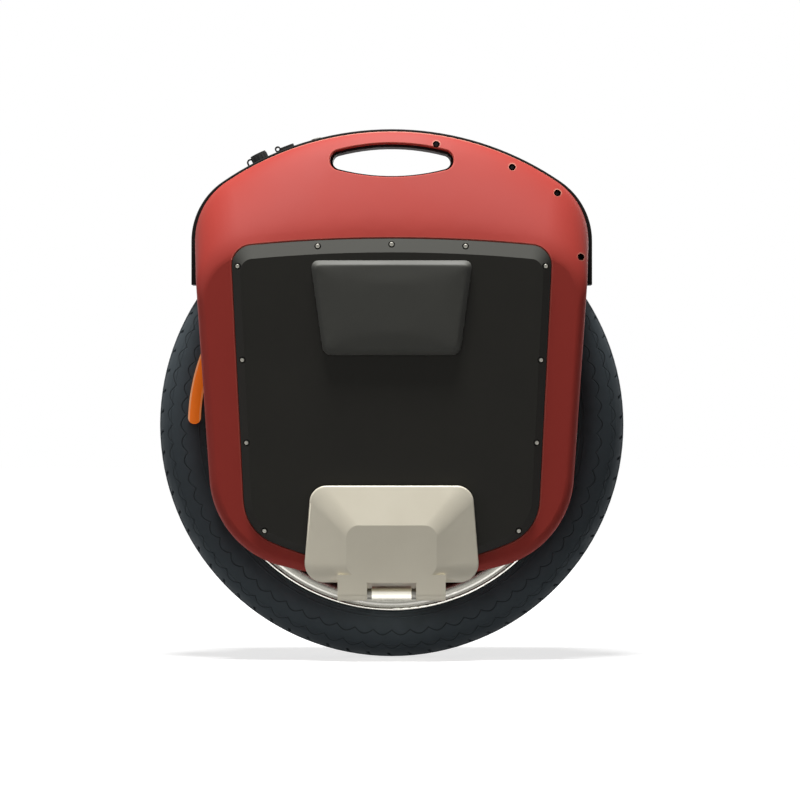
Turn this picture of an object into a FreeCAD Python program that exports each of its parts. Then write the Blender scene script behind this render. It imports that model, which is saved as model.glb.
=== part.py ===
"""Electric unicycle with an 18 inch hub motor wheel, two half shells and folding pedals.

Sizes are in millimetres and degrees. The wheel rolls towards +X, the axle lies along Y and +Z is
up. Pieces are drawn about the middle of the axle: a height is measured up from the axle and a
depth outwards from the middle plane of the wheel. The right side is at negative Y. Every piece is
lifted by the tyre radius when it is written, so the tyre stands on Z = 0.
"""
import FreeCAD
import Part
import math
import os

# Fits
SEAM = 0.3                      # gap between neighbouring pieces that are not bolted face to face
PRESS = 0.05                    # radial clearance of a bore on its shaft

# Tyre and inner tube
TYRE_RADIUS = 234.0
TYRE_WIDTH = 64.0
TREAD_WIDTH = 50.0
TREAD_DROP = 9.0                # shoulder of the tread below its crown
TREAD_THICKNESS = 8.0
CARCASS = 4.5                   # thickness of the sidewall
NECK_WIDTH = 47.0               # tyre width where it leaves the rim
NECK_GAP = 1.0                  # tyre neck above the rim edge
TREAD_PITCHES = 70
GROOVE_WIDTH = 3.0
GROOVE_DEPTH = 3.2
GROOVE_SLANT = 24.0
NOTCH_LENGTH = 10.0             # notch between two shoulder blocks, outwards from the rib
RIB_WIDTH = 17.0                # plain rib along the middle of the tread
TUBE_WALL = 1.5
TUBE_SIDE_ROOM = 7.5            # inner tube to the inside of the sidewall

# Sidewall label
LABEL_RADIUS = 198.0
LABEL_WIDTH = 12.5
LABEL_THICKNESS = 0.5
LABEL_START = 2.0               # lower end, above the rear horizontal
LABEL_SWEEP = 27.0

# Rim
RIM_EDGE_RADIUS = 187.0
RIM_WIDTH = 50.0                # over the flanges
FLANGE = 4.0
BEAD_HEIGHT = 11.0              # flange height above the bead seat
BEAD_WIDTH = 7.0
RIM_WELL_DEPTH = 6.0
RIM_WALL = 5.0
RIM_WEB = 8.0
RIM_LIP = 3.2                   # width of the rounded outer lip of a flange
RIM_GROOVE = 2.4
RIM_GROOVE_DEPTH = 2.2
RIM_BAND = 11.0                 # width of the polished band inside the groove
RIM_CROWN = 1.6                 # rise of the lip and of the band

# Motor
AXLE_RADIUS = 10.0
AXLE_END_RADIUS = 9.0
STATOR_RADIUS = 118.0
STATOR_DEPTH = 26.0             # radial depth of the lamination ring with its teeth
STATOR_YOKE = 8.0
STATOR_WIDTH = 30.0
TOOTH_COUNT = 36
TOOTH_WIDTH = 8.0
SHOE_THICKNESS = 4.0
SHOE_SHARE = 0.8                # part of the tooth pitch that a shoe covers
COIL_BUILD = 3.6                # copper beside a tooth
COIL_OVERHANG = 5.0
SPIDER_RIM = 8.0
SPIDER_WEB = 10.0
SPIDER_HUB_RADIUS = 24.0
SPIDER_HOLES = 6
SPIDER_HOLE_RADIUS = 17.0
AIR_GAP = 1.0
MAGNET_COUNT = 40
MAGNET_THICKNESS = 4.0
MAGNET_SHARE = 0.9
HOUSING_WALL = 8.0
HOUSING_WIDTH = 44.0

# Motor covers and bearings
BEARING_RADIUS = 21.0
BEARING_WIDTH = 12.0
BEARING_RACE = 3.6
BALL_COUNT = 9
COVER_PLATE = 4.5
COVER_RISE_TO_HUB = 5.0
HUB_WALL = 7.0
HUB_LIP = 2.2
SEAL_GAP = 3.0
COVER_RIBS = 9
COVER_RIB_WIDTH = 5.0
COVER_RIB_HEIGHT = 2.5
COVER_SCREW_COUNT = 12
COVER_SCREW_RADIUS = 2.5
COVER_SCREW_LENGTH = 12.0
COVER_SCREW_HEAD = 5.0
COVER_SCREW_HEAD_LENGTH = 2.5

# Valve
VALVE_RADIUS = 4.0
VALVE_OFFSET = 9.5              # from the middle plane, beside the web
VALVE_LENGTH = 24.0             # below the rim bed
VALVE_CAP_LENGTH = 12.0
VALVE_CAP_WALL = 1.0
VALVE_ANGLE = 172.0             # at rest the wheel's heavy side hangs down

# Shell outline
WELL_GAP = 8.0                  # tyre crown to the roof of the wheel well
SIDE_GAP = 9.0                  # tyre sidewall to the inner wall of the shell
WALL = 3.0
SHOULDER_HALF_WIDTH = 196.2
SHOULDER_HEIGHT = 166.0
FOOT_HALF_WIDTH = 180.5
FOOT_HEIGHT = -62.0
CROWN_RADIUS = 297.6
SHOULDER_RADIUS = 70.0
FOOT_RADIUS = 95.0
BELLY_RADIUS = 440.0
FACE_DROP = 103.65              # crown of the outer face below the crown of the shell
FACE_CROWN_RADIUS = 760.0
FACE_SHOULDER_RADIUS = 52.0
FLANK_POWER = 1.3               # how soon the flank falls away from the crown
EDGE_RADIUS = 9.0               # rounding of the outer face
LIP_RADIUS = 1.2                # rounding of the cover recess
FLANK_SECTIONS = (0.0, 0.2, 0.45, 0.7, 1.0)     # places of the outlines across the flank
EDGE_SECTIONS = (0.3, 0.6, 0.85, 1.0)           # and round the edge of the outer face

# Carry handle
HANDLE_SILL = 2.35              # wheel well roof to the floor of the hole
HANDLE_LENGTH = 123.8
HANDLE_HEIGHT = 34.3
HANDLE_END_RADIUS = 10.5
HANDLE_LIP = 1.3
HANDLE_STEP = 2.5               # the spine stands this far into the hole
GRIP_THICKNESS = 13.0

# Top spine
SPINE_WIDTH = 43.0
SPINE_PROUD = 2.4               # above the crown of the shell
SPINE_SIDE_PROUD = 5.3          # outside the shoulders of the shell
SPINE_EDGE = 1.6
SPINE_END_WALL = 4.6

# Shell screws
SHELL_SCREW_X = (44.7, 120.7, 166.0)
SHELL_SCREW_HEIGHT = 167.0
SHELL_SCREW_INSET = 10.0
SHELL_SCREW_SIDE_INSET = 8.0
SHELL_SCREW_RADIUS = 2.0
SHELL_SCREW_HEAD = 3.2
SHELL_SCREW_HEAD_LENGTH = 3.5
SHELL_SCREW_GRIP = 6.0          # thread in the far half
SHELL_BOSS_RADIUS = 6.5

# Battery packs
PACK_THICKNESS = 28.0
PACK_WIDTH = 100.0
PACK_HEIGHT = 250.0
PACK_BOTTOM = -106.0
PACK_CORNER = 8.0
PACK_ROOM = 1.7                 # foam space under the cover

# Side cover
SIDE_BORDER_TOP = 36.9          # red border beside the cover
SIDE_BORDER_FOOT = 32.6
COVER_SHOULDER_HEIGHT = 153.0
COVER_FOOT_HEIGHT = -82.0
TOP_BORDER = 6.0
BOTTOM_BORDER = 13.0
COVER_CROWN_RADIUS = 1500.0
COVER_SHOULDER_RADIUS = 21.0
COVER_FOOT_RADIUS = 48.0
COVER_BELLY_RADIUS = 300.0
COVER_FLANGE = 3.0
COVER_LEDGE = 3.0
COVER_LEDGE_WIDTH = 11.0
COVER_RISE = 5.0
COVER_BEVEL = 8.0
COVER_TOP_BEVEL = 14.0
COVER_WALL = 2.5

# Cover screws
PANEL_SCREW_INSET = 6.0
PANEL_SCREW_TOP_X = 73.3
PANEL_SCREW_HEIGHTS = (157.4, 64.3, -17.7)
PANEL_SCREW_FOOT_ANGLE = 50.0
PANEL_SCREW_RADIUS = 1.5
PANEL_SCREW_HEAD = 2.3
PANEL_SCREW_RECESS = 3.3        # radius of the hole round the head
PANEL_SCREW_HEAD_LENGTH = 2.0
PANEL_SCREW_SEAT = 1.0          # under the head, above the flange of the cover

# Leg pad
PAD_BELOW_COVER = 21.5
PAD_HEIGHT = 95.0
PAD_TOP_WIDTH = 162.0
PAD_BOTTOM_WIDTH = 136.0
PAD_TOP_CORNER = 9.0
PAD_BOTTOM_CORNER = 8.0
PAD_THICKNESS = 8.0
PAD_CHAMFER = 5.5               # along the upper edge
PAD_DRAFT = 2.0                 # of the other edges over the depth of the chamfer

# Pedal hanger
HINGE_DROP = 167.0              # hinge axis below the axle
ARM_GAP = 7.0                   # hinge arm below the shell
KNUCKLE_RADIUS = 6.0
KNUCKLE_WIDTH = 39.0
HANGER_THICKNESS = 8.0
HANGER_TOP_RADIUS = 29.0
HANGER_FOOT_WIDTH = 62.0
HANGER_FOOT_CORNER = 6.0
HANGER_POCKET = 3.5
HANGER_RIM = 9.0
GUSSET_REACH = 29.0             # web beside the hinge arm, from the back of the hanger
HANGER_BOLT_RADIUS = 3.0
HANGER_BOLT_HEAD = 5.0
HANGER_BOLT_HEAD_LENGTH = 4.0
HANGER_BOLT_X = 19.0
HANGER_BOLT_DROPS = (62.0, 122.0)
CHANNEL_GAP = 6.0               # hanger to battery pack

# Axle nut and washer
WASHER_THICKNESS = 2.0
WASHER_RADIUS = 16.0
NUT_THICKNESS = 9.0
NUT_ACROSS_FLATS = 27.0
NUT_CHAMFER = 30.0
AXLE_STICK_OUT = 3.0

# Pedal
PEDAL_GAP = 3.0                 # folded tread to the side cover
TREAD_OFFSET = 4.0              # tread plane inside the hinge axis
PEDAL_EDGE = 6.5
PEDAL_HUMP = 11.5
PEDAL_WIDTH = 175.0             # at the hinge end
PEDAL_TIP_WIDTH = 160.0
PEDAL_START = 11.3              # hinge axis to the near edge
PEDAL_REACH = 107.0             # hinge axis to the far edge
PEDAL_ROOT_CORNER = 19.0
PEDAL_TIP_CORNER = 17.0
PEDAL_ROUND = 2.0
HUMP_WIDTH = 89.0
HUMP_REACH = 68.0
HUMP_FOOT = 6.0                 # near edge to the foot of the hump's flat
HUMP_ROUND = 2.0
HUMP_CORNER = 12.0
LUG_GAP = 4.8                   # washer space between knuckle and lug
LUG_WIDTH = 29.0
LUG_RADIUS = 6.5
PIN_RADIUS = 3.5
PIN_CLEARANCE = 0.06
PIN_RECESS = 2.0                # pin end inside the lug
HINGE_WASHER_RADIUS = 5.5
MAT_THICKNESS = 1.2
MAT_BORDER = 7.0
MAT_GROOVES = 9
MAT_GROOVE_WIDTH = 2.0
MAT_GROOVE_DEPTH = 0.7

# Control deck on the rear of the spine
BUTTON_X = -76.0
USB_X = -105.0
CHARGE_X = -132.0
DECK_SPOT = 0.4                 # flat milled for a fitting
BUTTON_RADIUS = 5.0
BUTTON_HEIGHT = 5.0
BUTTON_PROUD = 1.3
BUTTON_TRAVEL = 1.2
BEZEL_WALL = 2.4
BEZEL_RISE = 1.0
BEZEL_BODY_RADIUS = 6.6
BEZEL_BODY_LENGTH = 16.0
CHARGE_BARREL_RADIUS = 6.2
CHARGE_BORE_RADIUS = 4.6
CHARGE_BARREL_HEIGHT = 5.0
CHARGE_FLANGE_RADIUS = 9.5
CHARGE_FLANGE = 1.2
CHARGE_BODY_RADIUS = 7.4
CHARGE_BODY_LENGTH = 8.5
CHARGE_PINS = 3
CHARGE_PIN_RADIUS = 0.8
CHARGE_PIN_SPREAD = 2.3
CAP_WALL = 1.7
CAP_TOP = 1.6
CAP_RIBS = 16
CAP_RIB = 0.5
STRAP_RADIUS = 0.9
STRAP_ARCH = 3.0
FLAP_LENGTH = 14.5
FLAP_WIDTH = 22.0
FLAP_THICKNESS = 2.8
FLAP_CORNER = 2.5
LOOP_RADIUS = 3.0
LOOP_THICKNESS = 1.4
LOOP_WIDTH = 8.0
USB_SLOT_LENGTH = 6.0
USB_SLOT_WIDTH = 14.0
USB_SLOT_DEPTH = 11.0
USB_BODY_WALL = 2.0
USB_BODY_LENGTH = 15.0
PLUG_DEPTH = 2.2
PLUG_CLEARANCE = 0.7

# Lights at the ends of the spine
LIGHT_ABOVE_END = 45.0
LIGHT_HEIGHT = 26.0
LIGHT_WIDTH = 26.0
LIGHT_CORNER = 5.0
LAMP_DEPTH = 8.0
LAMP_WALL = 1.6
LAMP_BORDER = 2.5

# Control board in the front bay
BOARD_ANGLE = 33.0
BOARD_LENGTH = 84.0
BOARD_WIDTH = 58.0
BOARD_THICKNESS = 1.6
SINK_BASE = 4.0
SINK_HEIGHT = 14.0
SINK_FINS = 9
SINK_FIN = 2.0
CAPACITOR_COUNT = 3
CAPACITOR_RADIUS = 8.0
CAPACITOR_HEIGHT = 12.0
CAPACITOR_PITCH = 18.0

# Motor cable on the right side
CABLE_RADIUS = 3.2
CABLE_TURN = 9.0                # bend out of the axle end
CABLE_ROUTE = ((0.0, 75.0, 118.0), (26.0, 67.0, 172.0), (70.0, 55.0, 212.0), (98.0, 48.3, 226.5),
               (112.0, 40.0, 226.0), (120.6, 31.7, 220.4))
TURN_SHARE = 0.45               # part of the shorter run that a bend takes up

# Places worked out from the sizes above
ORIGIN = FreeCAD.Vector(0, 0, 0)
ALONG_X = FreeCAD.Vector(1, 0, 0)
ALONG_Y = FreeCAD.Vector(0, 1, 0)
ALONG_Z = FreeCAD.Vector(0, 0, 1)

WELL_RADIUS = TYRE_RADIUS + WELL_GAP
ROOF_RADIUS = WELL_RADIUS + WALL
INNER_WALL = TYRE_WIDTH / 2 + SIDE_GAP
BAY_DEPTH = INNER_WALL + WALL
SPLIT = SPINE_WIDTH / 2 + SEAM
LEDGE_BACK = BAY_DEPTH + SEAM + PACK_THICKNESS + PACK_ROOM
COVER_SEAT = LEDGE_BACK + COVER_LEDGE
FACE = COVER_SEAT + COVER_FLANGE
COVER_FACE = FACE + COVER_RISE

HANDLE_FLOOR = ROOF_RADIUS + HANDLE_SILL
HANDLE_MIDDLE = HANDLE_FLOOR + HANDLE_HEIGHT / 2
TOP = HANDLE_FLOOR + HANDLE_HEIGHT + GRIP_THICKNESS
BOTTOM = -(HINGE_DROP - KNUCKLE_RADIUS - ARM_GAP)
SPINE_HALF_LENGTH = SHOULDER_HALF_WIDTH + SPINE_SIDE_PROUD
SPINE_SKIN = WALL + SPINE_PROUD
SPINE_END = math.sqrt(WELL_RADIUS ** 2 - (SPINE_HALF_LENGTH - SPINE_END_WALL) ** 2)
ROOF_END = SPINE_END + 2 * SPINE_END_WALL

HINGE_OUT = COVER_FACE + PEDAL_GAP + TREAD_OFFSET
LUG_INNER = KNUCKLE_WIDTH / 2 + LUG_GAP
HANGER_OUT = BAY_DEPTH + HANGER_THICKNESS
NUT_SEAT = HANGER_OUT + WASHER_THICKNESS
AXLE_END = NUT_SEAT + NUT_THICKNESS + AXLE_STICK_OUT
CHANNEL = HANGER_FOOT_WIDTH / 2 + CHANNEL_GAP

MAGNET_INNER = STATOR_RADIUS + AIR_GAP
HOUSING_INNER = MAGNET_INNER + MAGNET_THICKNESS
HOUSING_OUTER = HOUSING_INNER + HOUSING_WALL
COVER_PLANE = HOUSING_WIDTH / 2
BEAD_SEAT = RIM_EDGE_RADIUS - BEAD_HEIGHT
RIM_BED = BEAD_SEAT - RIM_WELL_DEPTH
BARREL = RIM_BED - RIM_WALL


def point(x, depth, height):
    """Point on the right side of the wheel."""
    return FreeCAD.Vector(x, -depth, height)


def blend(start, end, share):
    return start + (end - start) * share


def opposite(shape):
    """The same piece on the other side of the wheel."""
    return shape.rotated(ORIGIN, ALONG_Z, 180)


def join(shapes):
    first, *rest = shapes
    return first.multiFuse(rest).removeSplitter()


def around(shape, count, axis=ALONG_Y):
    """Copies of a shape spaced evenly about the axle."""
    return [shape.rotated(ORIGIN, axis, 360.0 * k / count) for k in range(count)]


def path(start, *steps):
    """Edges through points: a step is a point, or a middle point and an end point of an arc."""
    edges = []
    here = start
    for step in steps:
        if isinstance(step, tuple):
            edges.append(Part.Arc(here, step[0], step[1]).toShape())
            here = step[1]
        else:
            edges.append(Part.LineSegment(here, step).toShape())
            here = step
    return edges


def ring_point(radius, depth):
    return FreeCAD.Vector(radius, depth, 0)


def ring(start, *steps):
    """Solid of revolution about the axle from a closed section of radius and depth."""
    edges = path(start, *steps, start)
    return Part.Face(Part.Wire(edges)).revolve(ORIGIN, ALONG_Y, 360)


def even_ring(start, *steps):
    """Solid of revolution whose section is mirrored in the middle plane of the wheel."""
    half = path(start, *steps)
    other = [edge.mirror(ORIGIN, ALONG_Y) for edge in half]
    wire = Part.Wire(Part.__sortEdges__(half + other))
    return Part.Face(wire).revolve(ORIGIN, ALONG_Y, 360)


def cylinder(radius, start, end):
    run = end - start
    return Part.makeCylinder(radius, run.Length, start, run)


def side_pin(radius, x, height, near, far):
    """Cylinder along the axle direction between two depths of the right side."""
    return cylinder(radius, point(x, near, height), point(x, far, height))


def block(x0, x1, near, far, low, high):
    corner = FreeCAD.Vector(x0, -far, low)
    return Part.makeBox(x1 - x0, far - near, high - low, corner)


def rounded_wire(corners, radii):
    """Closed wire of straight runs and tangent arcs round the given corners."""
    count = len(corners)
    starts = []
    arcs = []
    for k in range(count):
        corner = corners[k]
        back = (corners[k - 1] - corner).normalize()
        ahead = (corners[(k + 1) % count] - corner).normalize()
        half = back.getAngle(ahead) / 2
        reach = radii[k] / math.tan(half)
        middle = (back + ahead).normalize()
        centre = corner + middle * (radii[k] / math.sin(half))
        arcs.append((centre - middle * radii[k], corner + ahead * reach))
        starts.append(corner + back * reach)
    edges = []
    for k in range(count):
        edges += path(starts[k], arcs[k])
        edges += path(arcs[k][1], starts[(k + 1) % count])
    return Part.Wire(edges)


def trapezoid(depth, low, high, low_width, high_width, low_corner, high_corner):
    """Rounded trapezoid facing sideways at a depth of the right side."""
    corners = [point(-low_width / 2, depth, low), point(low_width / 2, depth, low),
               point(high_width / 2, depth, high), point(-high_width / 2, depth, high)]
    return rounded_wire(corners, (low_corner, low_corner, high_corner, high_corner))


def plate(wire, thickness, direction=ALONG_Y * -1):
    return Part.Face(wire).extrude(direction * thickness)


def unit(a, b):
    run = math.hypot(b[0] - a[0], b[1] - a[1])
    return ((b[0] - a[0]) / run, (b[1] - a[1]) / run)


def along(start, direction, distance):
    return (start[0] + direction[0] * distance, start[1] + direction[1] * distance)


class Outline:
    """Outline of tangent arcs, even about the middle: crown, shoulders, straight sides, feet, belly."""

    def __init__(self, shoulder, foot, top, bottom, crown, corner, toe, belly):
        self.anchor = shoulder
        self.down = unit(shoulder, foot)
        self.inward = (self.down[1], -self.down[0])
        self.crown, self.corner, self.toe, self.belly = crown, corner, toe, belly
        self.crown_centre = (0.0, top - crown)
        self.belly_centre = (0.0, bottom + belly)
        self.corner_centre = self.tangent_centre(corner, self.crown_centre, crown - corner, -1)
        self.toe_centre = self.tangent_centre(toe, self.belly_centre, belly - toe, 1)

    def tangent_centre(self, radius, other, reach, way):
        """Centre of a corner arc that touches the side and the crown or belly arc."""
        base = along(self.anchor, self.inward, radius)
        gap = (base[0] - other[0], base[1] - other[1])
        lean = gap[0] * self.down[0] + gap[1] * self.down[1]
        root = math.sqrt(lean ** 2 - gap[0] ** 2 - gap[1] ** 2 + reach ** 2)
        return along(base, self.down, way * root - lean)

    def side_x(self, height):
        return self.anchor[0] + self.down[0] * (height - self.anchor[1]) / self.down[1]

    def crown_height(self, x, inset=0.0):
        return self.crown_centre[1] + math.sqrt((self.crown - inset) ** 2 - x ** 2)

    def wire(self, depth, inset=0.0):
        """The outline at a depth of the right side, drawn in by an inset."""
        out = (-self.inward[0], -self.inward[1])
        up = unit(self.crown_centre, self.corner_centre)
        low = unit(self.belly_centre, self.toe_centre)
        corner_mid = unit((0, 0), (out[0] + up[0], out[1] + up[1]))
        toe_mid = unit((0, 0), (out[0] + low[0], out[1] + low[1]))
        right = [along(self.crown_centre, up, self.crown - inset),
                 along(self.corner_centre, corner_mid, self.corner - inset),
                 along(self.corner_centre, out, self.corner - inset),
                 along(self.toe_centre, out, self.toe - inset),
                 along(self.toe_centre, toe_mid, self.toe - inset),
                 along(self.belly_centre, low, self.belly - inset)]
        a, b, c, d, e, f = [point(x, depth, z) for x, z in right]
        g, h, i, j, k, m = [point(-x, depth, z) for x, z in reversed(right)]
        crown_top = point(0, depth, self.crown_centre[1] + self.crown - inset)
        belly_low = point(0, depth, self.belly_centre[1] - self.belly + inset)
        return Part.Wire(path(m, (crown_top, a), (b, c), d, (e, f), (belly_low, g), (h, i), j, (k, m)))

    def prism(self, near, far, inset=0.0):
        return plate(self.wire(near, inset), far - near)

    def drawn_in(self, inset, lower=0.0):
        """Outline parallel to this one and inside it, with its crown lowered further."""
        shoulder = along(self.anchor, self.inward, inset)
        return Outline(shoulder, along(shoulder, self.down, 1.0),
                       self.crown_centre[1] + self.crown - inset - lower,
                       self.belly_centre[1] - self.belly + inset,
                       self.crown - inset, self.corner - inset, self.toe - inset, self.belly - inset)


def flank(depth):
    """Outline of the shell at a depth: the crown falls and flattens towards the outer face."""
    share = max(0.0, (depth - SPLIT) / (FACE - SPLIT))
    crown = 1 / blend(1 / CROWN_RADIUS, 1 / FACE_CROWN_RADIUS, share)
    corner = blend(SHOULDER_RADIUS, FACE_SHOULDER_RADIUS, share)
    return Outline((SHOULDER_HALF_WIDTH, SHOULDER_HEIGHT), (FOOT_HALF_WIDTH, FOOT_HEIGHT),
                   TOP - FACE_DROP * share ** FLANK_POWER, BOTTOM,
                   crown, corner, FOOT_RADIUS, BELLY_RADIUS)


def edge_inset(depth):
    """How far the rounding of the outer face has drawn the outline in."""
    run = max(0.0, depth - FACE + EDGE_RADIUS)
    return EDGE_RADIUS - math.sqrt(EDGE_RADIUS ** 2 - run ** 2)


SHELL_OUTLINE = flank(SPLIT)
SPINE_OUTLINE = Outline((SPINE_HALF_LENGTH, SHOULDER_HEIGHT), (SPINE_HALF_LENGTH, FOOT_HEIGHT),
                        TOP + SPINE_PROUD, BOTTOM, CROWN_RADIUS + SPINE_PROUD,
                        SHOULDER_RADIUS + SPINE_PROUD, FOOT_RADIUS, BELLY_RADIUS)


def cover_outline():
    shell = SHELL_OUTLINE
    shoulder = (shell.side_x(COVER_SHOULDER_HEIGHT) - SIDE_BORDER_TOP, COVER_SHOULDER_HEIGHT)
    foot = (shell.side_x(COVER_FOOT_HEIGHT) - SIDE_BORDER_FOOT, COVER_FOOT_HEIGHT)
    return Outline(shoulder, foot, TOP - FACE_DROP - TOP_BORDER, BOTTOM + BOTTOM_BORDER,
                   COVER_CROWN_RADIUS, COVER_SHOULDER_RADIUS, COVER_FOOT_RADIUS, COVER_BELLY_RADIUS)


COVER_OUTLINE = cover_outline()


def edges_on(shape, wire):
    """Edges of a shape that lie on a wire."""
    found = []
    for edge in shape.Edges:
        middle = edge.valueAt((edge.FirstParameter + edge.LastParameter) / 2)
        spots = [middle] + [vertex.Point for vertex in edge.Vertexes]
        if all(wire.distToShape(Part.Vertex(spot))[0] < SEAM / 10 for spot in spots):
            found.append(edge)
    return found


def handle_wire(depth, grow=0.0):
    """Flattened oval of the carry handle: long arcs above and below, round ends."""
    half = HANDLE_LENGTH / 2 + grow
    rise = HANDLE_HEIGHT / 2 + grow
    end = HANDLE_END_RADIUS + grow
    reach = half - end
    arch = (reach ** 2 + rise ** 2 - end ** 2) / (2 * (rise - end))
    x, up = along((0.0, rise - arch), unit((0.0, rise - arch), (reach, 0.0)), arch)
    upper_left = point(-x, depth, HANDLE_MIDDLE + up)
    upper_right = point(x, depth, HANDLE_MIDDLE + up)
    lower_right = point(x, depth, HANDLE_MIDDLE - up)
    lower_left = point(-x, depth, HANDLE_MIDDLE - up)
    return Part.Wire(path(upper_left,
                          (point(0, depth, HANDLE_MIDDLE + rise), upper_right),
                          (point(half, depth, HANDLE_MIDDLE), lower_right),
                          (point(0, depth, HANDLE_MIDDLE - rise), lower_left),
                          (point(-half, depth, HANDLE_MIDDLE), upper_left)))


def handle_prism(near, far, grow=0.0):
    return plate(handle_wire(near, grow), far - near)


def grip_block(near, far):
    """The bar over the handle hole, which stays solid."""
    half = HANDLE_LENGTH / 2 + WALL
    return block(-half, half, near, far, HANDLE_MIDDLE, TOP)


def shell_screw_places():
    """Places of the screws that a half shell takes at its front end."""
    line = SHELL_OUTLINE
    places = [(x, line.crown_height(x, SHELL_SCREW_INSET)) for x in SHELL_SCREW_X]
    places.append((line.side_x(SHELL_SCREW_HEIGHT) - SHELL_SCREW_SIDE_INSET, SHELL_SCREW_HEIGHT))
    return places


def panel_screw_places():
    """Places of the screws round a side cover."""
    line = COVER_OUTLINE.drawn_in(PANEL_SCREW_INSET)
    angle = math.radians(PANEL_SCREW_FOOT_ANGLE)
    foot = along(line.toe_centre, (math.cos(angle), -math.sin(angle)), line.toe)
    right = [(line.side_x(height), height) for height in PANEL_SCREW_HEIGHTS] + [foot]
    right.append((PANEL_SCREW_TOP_X, line.crown_height(PANEL_SCREW_TOP_X)))
    left = [(-x, height) for x, height in right]
    return right + left + [(0.0, line.crown_height(0.0))]


def hanger_bolt_places():
    return [(x, -drop) for x in (-HANGER_BOLT_X, HANGER_BOLT_X) for drop in HANGER_BOLT_DROPS]


def shell_loft(near, far, shift=0.0, wall=0.0):
    """Body inside the flanks between two depths, drawn in by a wall and shifted outwards."""
    bend = FACE - EDGE_RADIUS
    last = math.asin((far + shift - bend) / EDGE_RADIUS)
    start = near + shift
    depths = [blend(start, bend, share) for share in FLANK_SECTIONS]
    depths += [bend + EDGE_RADIUS * math.sin(last * share) for share in EDGE_SECTIONS]
    wires = [flank(depth).wire(depth - shift, wall + edge_inset(depth)) for depth in depths]
    return Part.makeLoft(wires, True)


def shell_cavity():
    """Hollow of a half shell: the battery bay and the bays over the wheel well."""
    keep = [side_pin(ROOF_RADIUS, 0, 0, 0, BAY_DEPTH),
            block(-TOP, TOP, 0, BAY_DEPTH, -TOP, ROOF_END + WALL),
            handle_prism(0, FACE, WALL),
            grip_block(0, FACE)]
    for x, height in shell_screw_places():
        keep += [side_pin(SHELL_BOSS_RADIUS, side * x, height, 0, FACE) for side in (-1, 1)]
    return shell_loft(SPLIT - WALL, LEDGE_BACK, WALL, WALL).cut(keep)


def half_shell():
    """Moulded half shell: flanks, handle tunnel, wheel well, battery bay and cover recess."""
    body = shell_loft(SPLIT, FACE).cut(handle_prism(0, FACE + WALL))
    lip = [edge for edge in body.Edges
           if edge.BoundBox.YMax < -SPLIT - WALL
           and abs(edge.CenterOfMass.z - HANDLE_MIDDLE) < HANDLE_HEIGHT
           and abs(edge.CenterOfMass.x) < HANDLE_LENGTH / 2 + WALL]
    body = body.makeFillet(HANDLE_LIP, lip)
    cuts = [side_pin(WELL_RADIUS, 0, 0, 0, INNER_WALL),
            block(-TOP, TOP, 0, INNER_WALL, -TOP, ROOF_END),
            shell_cavity(),
            COVER_OUTLINE.prism(COVER_SEAT, FACE + WALL),
            COVER_OUTLINE.prism(LEDGE_BACK - WALL, FACE, COVER_LEDGE_WIDTH)]
    body = body.cut(cuts)
    body = body.makeFillet(LIP_RADIUS, edges_on(body, COVER_OUTLINE.wire(FACE)))
    slot = HANGER_FOOT_WIDTH / 2 + SEAM
    holes = [side_pin(AXLE_RADIUS + WALL, 0, 0, 0, BAY_DEPTH + WALL),
             block(-slot, slot, BAY_DEPTH, HANGER_OUT + SEAM, -HINGE_DROP, BOTTOM + BOTTOM_BORDER)]
    holes += [side_pin(HANGER_BOLT_RADIUS + PRESS, x, z, 0, BAY_DEPTH + WALL)
              for x, z in hanger_bolt_places()]
    holes += [side_pin(PANEL_SCREW_RADIUS + PRESS, x, z, LEDGE_BACK - WALL, FACE)
              for x, z in panel_screw_places()]
    seat = SPLIT + WALL
    for x, height in shell_screw_places():
        holes += [side_pin(SHELL_SCREW_HEAD + SEAM, x, height, seat, FACE),
                  side_pin(SHELL_SCREW_RADIUS + PRESS, x, height, 0, FACE),
                  side_pin(SHELL_SCREW_RADIUS + PRESS, -x, height, 0, SPLIT + SHELL_SCREW_GRIP)]
    return body.cut(holes)


def shell_screws():
    """The four screws of one half shell, through the spine into the other half."""
    seat = SPLIT + WALL
    screws = []
    for x, height in shell_screw_places():
        shank = side_pin(SHELL_SCREW_RADIUS, x, height, -SPLIT - SHELL_SCREW_GRIP + PRESS, seat)
        head = side_pin(SHELL_SCREW_HEAD, x, height, seat, seat + SHELL_SCREW_HEAD_LENGTH)
        screws.append(shank.fuse(head))
    return screws


def on_deck(shape, x):
    """Place a fitting drawn on the XY plane on the milled flat of the spine at a place along it."""
    radius = SPINE_OUTLINE.crown
    angle = math.asin(x / radius)
    place = FreeCAD.Vector(math.sin(angle), 0, math.cos(angle)) * (radius - DECK_SPOT)
    turned = shape.rotated(ORIGIN, ALONG_Y, math.degrees(angle))
    return turned.translated(place + FreeCAD.Vector(0, 0, SPINE_OUTLINE.crown_centre[1]))


def post(radius, low, high, x=0.0, y=0.0):
    return Part.makeCylinder(radius, high - low, FreeCAD.Vector(x, y, low))


def deck_block(length, width, low, high, corner):
    """Block with rounded upright edges, centred on the Z axis."""
    x, y = length / 2, width / 2
    corners = [FreeCAD.Vector(-x, -y, low), FreeCAD.Vector(x, -y, low),
               FreeCAD.Vector(x, y, low), FreeCAD.Vector(-x, y, low)]
    return plate(rounded_wire(corners, [corner] * len(corners)), high - low, ALONG_Z)


def usb_body(low, high, grow=0.0):
    return deck_block(USB_SLOT_LENGTH + 2 * (USB_BODY_WALL + grow),
                      USB_SLOT_WIDTH + 2 * (USB_BODY_WALL + grow), low, high, USB_BODY_WALL)


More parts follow.
